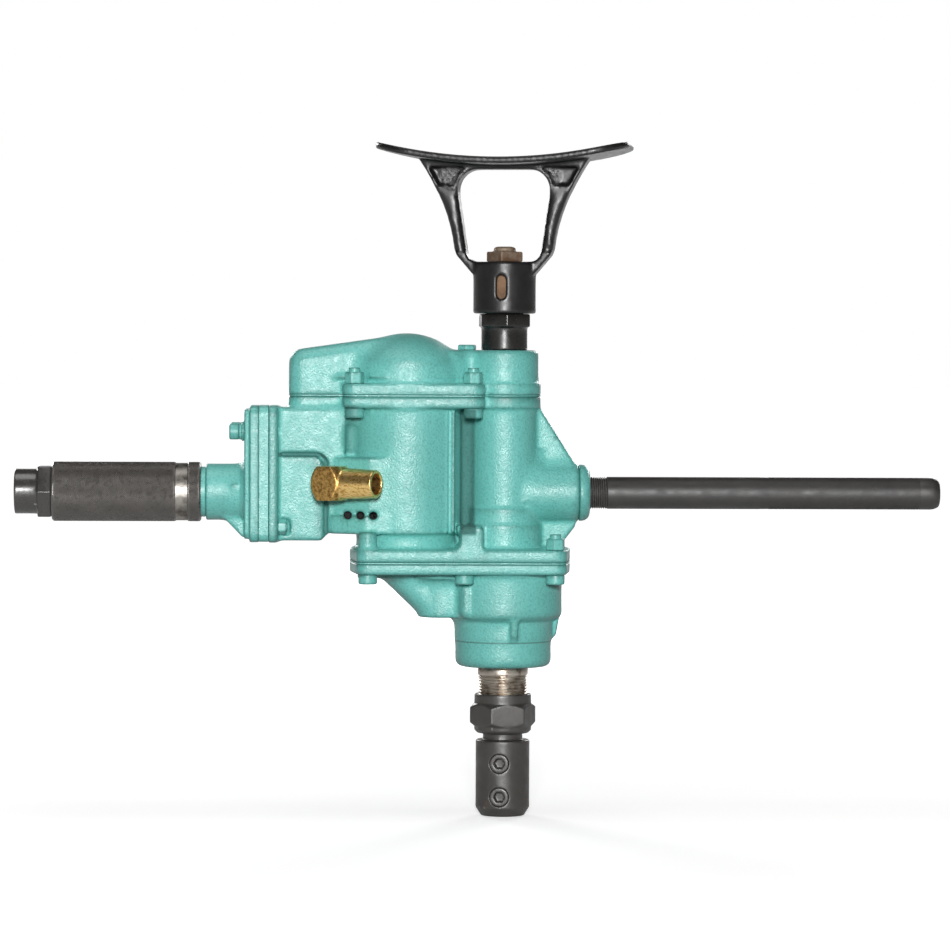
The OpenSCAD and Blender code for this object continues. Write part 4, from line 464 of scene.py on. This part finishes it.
class Lathe:
    """Rows of points round an axis, each row a place along it and its radii, for knurls and threads."""

    def __init__(self, around):
        self.around = around
        self.turn = np.arange(around) / around
        self.rows = []

    def rings(self, *places, start=0.0):
        """Plain rows, each a pair of place beyond start and radius."""
        for at, radius in places:
            self.rows.append((start + at, np.full(self.around, float(radius))))

    def knurl(self, start, end, radius, depth, rows):
        """Diamond points: every other point of every other row stands out. rows is even."""
        for j in range(rows + 1):
            odd = (np.arange(self.around) + len(self.rows)) % 2
            fade = min(1.0, 0.4 + min(j, rows - j) / 3)
            self.rows.append((start + (end - start) * j / rows, radius - depth + depth * odd * fade))

    def thread(self, start, end, radius, depth, pitch, steps=8):
        """A V thread that runs out at both ends."""
        count = round((end - start) / pitch * steps)
        for j in range(count + 1):
            at = start + (end - start) * j / count
            phase = ((at - start) / pitch - self.turn) % 1
            fade = min(1.0, min(j, count - j) / (0.6 * steps))
            self.rows.append((at, radius - depth * fade * np.abs(2 * phase - 1)))

    def mesh(self, along, centre, bored=False):
        """Points in millimetres, and faces split along the knurl's valleys. A bored one joins its last row
        to its first, and any other is closed by flat ends."""
        angle = 2 * np.pi * self.turn
        points = []
        for at, radii in self.rows:
            side, up = radii * np.cos(angle), radii * np.sin(angle)
            if along == "x":
                points.append(np.stack([np.full(self.around, at), centre[0] + side, centre[1] + up], 1))
            else:
                points.append(np.stack([centre[0] + side, centre[1] + up, np.full(self.around, at)], 1))
        n = self.around
        i = np.arange(n)
        k = (i + 1) % n
        faces = []
        count = len(self.rows)
        for j in range(count if bored else count - 1):
            up = (j + 1) % count
            a, b, c, d = j * n + i, j * n + k, up * n + k, up * n + i
            even = ((i + j) % 2 == 0)[:, None]
            first = np.where(even, np.stack([a, b, c], 1), np.stack([a, b, d], 1))
            second = np.where(even, np.stack([a, c, d], 1), np.stack([b, c, d], 1))
            faces += first.tolist() + second.tolist()
        if not bored:
            last = (count - 1) * n
            faces += [list(range(n))[::-1], list(range(last, last + n))]
        return np.concatenate(points), faces


def near(value, at, reach=2.5, edge=1.5):
    return band(value, at - reach, at + reach, edge)


# Parts of the castings whose edges differ from the rest: 1 where each holds, along x, y and z in millimetres

def side_gusset(x, y, z):
    return band(x, 16, 56) * band(z, 263, 305)


def chest_valley(x, y, z):
    return band(x, -152, -112) * band(z, 306, 342)


def fin_and_pad(x, y, z):
    return np.maximum(band(x, -50, -40.5, 1) * band(z, 232, 338), band(x, -184, -100) * band(z, 236, 302))


def housing_faces(x, y, z):
    """Flanges at both joints, and the chest's flange towards the handle."""
    return np.maximum(near(z, JOINT1), np.maximum(near(z, JOINT2), 1 - step(x, -190, -187.5)))


def case_slope(x, y, z):
    return (1 - step(x, -34, -28)) * (1 - step(z, 198, 202)) * (1 - step(abs(y), 36, 40))


def above_cap_flange(x, y, z):
    """The cap's walls, but not the seats of its screws."""
    from_screw = np.minimum.reduce([np.hypot(x - a, y - b) for a, b in CAP_BOLTS])
    return step(z, 362, 366) * step(from_screw, 10.5, 13.5)


def cap_duct(x, y, z):
    return above_cap_flange(x, y, z) * (1 - step(x, -100, -90))


def cap_dome(x, y, z):
    return above_cap_flange(x, y, z) * step(x, -100, -90)


def neck_foot(x, y, z):
    return band(x, -241, -222, 4)


def handle_flange(x, y, z):
    return step(x, -216, -213)


def plate_legs_foot(x, y, z):
    return band(z, 472, 516, 4)


def plate(x, y, z):
    return step(z, 536, 542)


# Castings: voxel, fill and soften in millimetres, and the same for each part that differs
softened(
    "main_housing", "teal", "teal_castings", 0.9, 2.0, 1.4,
    (1.4, 12.0, 1.4, side_gusset),
    (1.2, 4.5, 3.0, chest_valley),
    (0.9, 0.6, 1.1, fin_and_pad),
    (0.9, 0.5, 0.35, housing_faces))
softened(
    "gear_case", "teal", "teal_castings", 0.9, 1.2, 1.0,
    (1.4, 5.0, 1.4, case_slope),
    (0.9, 0.5, 0.35, lambda x, y, z: near(z, JOINT1)))
softened(
    "top_cap", "teal", "teal_castings", 0.8, 2.0, 1.4,
    (1.4, 12.0, 2.4, cap_duct),
    (1.4, 6.0, 1.8, cap_dome),
    (0.8, 0.5, 0.35, lambda x, y, z: near(z, JOINT2)))
softened(
    "handle_base", "teal", "teal_castings", 0.6, 0.6, 0.7,
    (1.0, 5.0, 1.2, neck_foot),
    (0.6, 0.4, 0.3, handle_flange))
softened(
    "breast_plate", "gloss", "black_casting", 0.8, 1.4, 1.0,
    (1.4, 9.0, 3.8, plate_legs_foot),
    (0.8, 1.0, 1.0, plate), smooth=7, adaptivity=0.006)

# Small parts by look: slot, voxel, fill, soften and nodes
SMALL = {
    "nuts": ("teal_fasteners", 0.35, 0.2, 0.25,
             "oil_plug cap_screws cap_nuts case_screws case_bolts case_nuts "
             "handle_screws handle_washers handle_studs handle_nuts"),
    "inlet": ("black_oxide", 0.45, 0.3, 0.4, "inlet_bushing"),
    "oxide": ("black_oxide", 0.45, 0.3, 0.4, "lock_nut chuck set_screw_lower set_screw_upper"),
    "stem": ("polished_black", 0.6, 0.5, 0.5, "stem"),
    "rusty": ("rusty_steel", 0.5, 0.4, 0.6, "plate_screw"),
    "elbow": ("brass", 0.45, 0.4, 0.4, "exhaust_elbow"),
}
for look, (slot, voxel, fill, soften, names) in SMALL.items():
    for name in names.split():
        softened(name, look, slot, voxel, fill, soften, smooth=1)
softened("boss_ring", "teal", "teal_castings", 0.5, 0.4, 0.8, smooth=1)

# Throttle sleeve: two knurled bands with a bare groove between, and a painted collar at its inner end
SLEEVE_X, SLEEVE_R, SLEEVE_BORE_R, SLEEVE_KNURL = -375.24, 24.75, 18.06, 0.20
GROOVE_FROM, GROOVE_TO, GROOVE_R = 102.6, 112.4, 23.95
COLLAR_FROM, COLLAR_TO, COLLAR_R = 123.5, 127.3, 20.85
grip = Lathe(176)
grip.rings((0, SLEEVE_BORE_R), (0, 23.5), (1.2, 24.55), start=SLEEVE_X)
grip.knurl(SLEEVE_X + 1.3, SLEEVE_X + 101.9, SLEEVE_R, SLEEVE_KNURL, 114)
grip.rings((102.5, 24.3), (GROOVE_FROM, GROOVE_R), (GROOVE_TO, GROOVE_R), (112.5, 24.3), start=SLEEVE_X)
grip.knurl(SLEEVE_X + 113.1, SLEEVE_X + 122.2, SLEEVE_R, SLEEVE_KNURL, 10)
grip.rings((122.3, 24.55), (COLLAR_FROM, 23.5), (COLLAR_FROM, COLLAR_R), (126.7, COLLAR_R),
           (COLLAR_TO, 20.3), (COLLAR_TO, SLEEVE_BORE_R), start=SLEEVE_X)
points, faces = grip.mesh("x", (0, HANDLE_Z), bored=True)
sleeve = new_piece(
    "knurled_sleeve", points, faces, "sleeve", "throttle", ("throttle_sleeve",))
sleeve.data.materials.append(looks["groove"])
sleeve.data.shade_flat()
middles = np.empty(len(sleeve.data.polygons) * 3)
sleeve.data.polygons.foreach_get("center", middles)
along = middles[::3] / MM - SLEEVE_X
sleeve.data.materials.append(looks["nuts"])
in_groove = (along > GROOVE_FROM - 0.2) & (along < GROOVE_TO + 0.2)
sleeve.data.polygons.foreach_set(
    "material_index", (in_groove + 2 * (along > COLLAR_FROM)).astype(np.int32))

# Pipe handle: threaded root, plain middle, knurled end with a rounded rim
PIPE_R, PIPE_ROOT_X, PIPE_END_X, PIPE_RIM, PIPE_RIM_L = 13.35, 37.7, 364.5, 4, 8
pipe = Lathe(128)
pipe.rings((PIPE_ROOT_X, 1.0), (PIPE_ROOT_X, PIPE_R), (72.0, PIPE_R))
pipe.thread(72.2, 86.6, PIPE_R, 1.1, 1.8)
pipe.rings((87.0, PIPE_R), *((at, PIPE_R) for at in range(92, 220, 8)))
pipe.knurl(220.2, 347.8, PIPE_R, 0.30, 196)
pipe.rings((348.4, 13.3), (PIPE_END_X - PIPE_RIM_L, 13.3))
for turn in range(12, 90, 12):
    angle = math.radians(turn)
    pipe.rings((PIPE_END_X - PIPE_RIM_L + PIPE_RIM_L * math.sin(angle), 9.3 + PIPE_RIM * math.cos(angle)))
pipe.rings((PIPE_END_X, 8.0), (PIPE_END_X, 1.0))
points, faces = pipe.mesh("x", (0, HANDLE_Z))
new_piece("threaded_pipe", points, faces, "pipe", "housing", ("pipe_handle",))

# Spindle with its thread above the lock nut, and its shoulders for the bearings and the gear
SPINDLE_R = 20.85
shaft = Lathe(128)
shaft.rings((81.0, 1.0), (81.0, SPINDLE_R), (96.0, SPINDLE_R))
shaft.thread(96.2, 118.4, SPINDLE_R, 1.5, 2.4)
shaft.rings((119.0, SPINDLE_R), (137.0, SPINDLE_R), (137.0, 17.45), (181.8, 17.45), (181.8, 15.0),
            (201.8, 15.0), (201.8, 12.0), (215.8, 12.0), (215.8, 9.95), (230.8, 9.95), (230.8, 1.0))
points, faces = shaft.mesh("z", (0, 0))
new_piece("threaded_spindle", points, faces, "worn", "spindle_group", ("spindle",))

# Nodes that keep their own shape
plain = {
    "teal": "cap_gasket case_gasket port_plate",
    "steel": "spindle_gear spindle_key gear_ring low_bearing_outer low_bearing_inner low_bearing_ring "
             "top_bearing_outer top_bearing_inner idler_shaft idler_gear rotor motor_pinion motor_cylinder "
             "low_end_plate top_end_plate rotor_bearing_outers rotor_bearing_inners drive_pin",
    "brass": "throttle_valve",
    "bronze": "idler_low_bush idler_top_bush",
    "tan": "hub_bush",
    "rubber": "spindle_seal",
    "vane": "vane_set",
}
for look, names in plain.items():
    for name in names.split():
        cad[name].data.materials.clear()
        cad[name].data.materials.append(looks[look])


# Studio: white floor and backdrop, a soft lamp by the camera and weak light from all round. The camera
# turns right, lifts and rolls by degrees, and its focal length is in pixels of a 950 pixel picture
PHOTO_PX = 950
CAMERA_PLACE = Vector((-0.150, -3.600, 0.400))
CAMERA_TURN = [math.radians(v) for v in (2.005, -1.844, 0.241)]
CAMERA_REACH_PX = 4323.1
FLOOR_REACH, FLOOR_DROP = 30, 0.3 * MM
# Name, place, target, size in metres and watts
LAMPS = [
    ("key", (-0.15, -3.5, 0.80), (-0.05, 0, 0.28), 0.45, 112),
    ("top", (-0.3, -0.4, 2.8), (-0.05, 0, 0.3), 1.6, 14),
    ("back_left", (-1.5, 3.2, 1.4), (-0.05, 0, 0.25), 1.2, 42),
    ("back_right", (1.5, 3.2, 1.4), (-0.05, 0, 0.25), 1.2, 42),
]


def seen_white(tree, lit, dim):
    """Mixes two shaders: the first for camera, glossy and transmission rays, and the second for the rest."""
    path = tree.nodes.new("ShaderNodeLightPath")
    last = path.outputs["Is Camera Ray"]
    for kind in ("Is Glossy Ray", "Is Transmission Ray"):
        both = tree.nodes.new("ShaderNodeMath")
        both.operation = "MAXIMUM"
        tree.links.new(last, both.inputs[0])
        tree.links.new(path.outputs[kind], both.inputs[1])
        last = both.outputs[0]
    mixed = tree.nodes.new("ShaderNodeMixShader")
    tree.links.new(last, mixed.inputs["Fac"])
    tree.links.new(dim, mixed.inputs[1])
    tree.links.new(lit, mixed.inputs[2])
    return mixed.outputs[0]


def make_world():
    """White to the camera and behind the object, dim towards the room, and weak as light."""
    world = bpy.data.worlds.new("studio")
    bpy.context.scene.world = world
    world.use_nodes = True
    tree = world.node_tree
    tree.nodes.clear()
    white = tree.nodes.new("ShaderNodeBackground")
    white.inputs["Color"].default_value = (1, 1, 1, 1)
    dim = tree.nodes.new("ShaderNodeBackground")
    dim.inputs["Color"].default_value = (1, 0.98, 0.95, 1)
    dim.inputs["Strength"].default_value = 0.05
    # Behind the camera the room is dim, also in reflections
    room = tree.nodes.new("ShaderNodeBackground")
    room.inputs["Color"].default_value = (1, 0.94, 0.86, 1)
    room.inputs["Strength"].default_value = 0.07
    direction = tree.nodes.new("ShaderNodeTexCoord")
    split = tree.nodes.new("ShaderNodeSeparateXYZ")
    tree.links.new(direction.outputs["Generated"], split.inputs[0])
    side = tree.nodes.new("ShaderNodeMapRange")
    side.interpolation_type = "SMOOTHSTEP"
    side.inputs["From Min"].default_value = 0.86
    side.inputs["From Max"].default_value = 0.97
    tree.links.new(split.outputs["Y"], side.inputs["Value"])
    around = tree.nodes.new("ShaderNodeMixShader")
    tree.links.new(side.outputs["Result"], around.inputs["Fac"])
    tree.links.new(room.outputs[0], around.inputs[1])
    tree.links.new(white.outputs[0], around.inputs[2])
    path = tree.nodes.new("ShaderNodeLightPath")
    seen = tree.nodes.new("ShaderNodeMixShader")
    tree.links.new(path.outputs["Is Camera Ray"], seen.inputs["Fac"])
    tree.links.new(around.outputs[0], seen.inputs[1])
    tree.links.new(white.outputs[0], seen.inputs[2])
    out = tree.nodes.new("ShaderNodeOutputWorld")
    tree.links.new(seen_white(tree, seen.outputs[0], dim.outputs[0]), out.inputs["Surface"])


def make_floor():
    """White as far as the eye reaches, and a little greyer under the object, so that its shadow shows. Only
    the camera and reflections see the glow."""
    look = Look("floor", Roughness=0.9, Specular_IOR_Level=0.1)
    look.colour(grey(0.80))
    glow = look.node("ShaderNodeEmission")
    apart = look.node("ShaderNodeVectorMath", operation="LENGTH")
    look.link(look.place, apart.inputs[0])
    away = look.math("DIVIDE", apart.outputs["Value"], 4.0)
    camera_ray = look.node("ShaderNodeLightPath").outputs["Is Camera Ray"]
    mirrored = look.ramp(away, (0.15, 0.10), (1.0, 0.6))
    seen = look.ramp(away, (0.1, 0.50), (0.7, 1.0))
    look.link(look.mix(camera_ray, mirrored, seen), glow.inputs["Color"])
    both = look.node("ShaderNodeAddShader")
    look.tree.links.new(look.shader.outputs[0], both.inputs[0])
    look.tree.links.new(glow.outputs[0], both.inputs[1])
    dull = look.node("ShaderNodeBsdfDiffuse")
    dull.inputs["Color"].default_value = grey(0.12)
    out = look.tree.nodes["Material Output"]
    look.tree.links.new(seen_white(look.tree, both.outputs[0], dull.outputs[0]), out.inputs["Surface"])
    mesh = bpy.data.meshes.new("floor")
    corners = [(-FLOOR_REACH, -FLOOR_REACH), (FLOOR_REACH, -FLOOR_REACH),
               (FLOOR_REACH, FLOOR_REACH), (-FLOOR_REACH, FLOOR_REACH)]
    mesh.from_pydata([(x, y, -FLOOR_DROP) for x, y in corners], [], [(0, 1, 2, 3)])
    mesh.materials.append(look.material)
    floor = bpy.data.objects.new("floor", mesh)
    bpy.context.scene.collection.objects.link(floor)


def make_lamp(name, place, target, size, power):
    lamp = bpy.data.lights.new(name, "AREA")
    lamp.shape = "DISK"
    lamp.size = size
    lamp.energy = power
    held = bpy.data.objects.new(name, lamp)
    held.location = place
    held.rotation_euler = (Vector(target) - Vector(place)).to_track_quat("-Z", "Y").to_euler()
    bpy.context.scene.collection.objects.link(held)


def make_camera():
    lens = bpy.data.cameras.new("camera")
    lens.sensor_width = 36
    lens.lens = lens.sensor_width * CAMERA_REACH_PX / PHOTO_PX
    lens.clip_end = 100
    right_turn, lift, roll = CAMERA_TURN
    camera = bpy.data.objects.new("camera", lens)
    camera.location = CAMERA_PLACE
    camera.rotation_euler = (
        Matrix.Rotation(-right_turn, 3, "Z") @ Matrix.Rotation(math.pi / 2 + lift, 3, "X")
        @ Matrix.Rotation(roll, 3, "Z")).to_euler()
    bpy.context.scene.collection.objects.link(camera)
    bpy.context.scene.camera = camera


make_world()
make_floor()
for lamp in LAMPS:
    make_lamp(*lamp)
make_camera()
bpy.context.scene.view_settings.view_transform = "Standard"
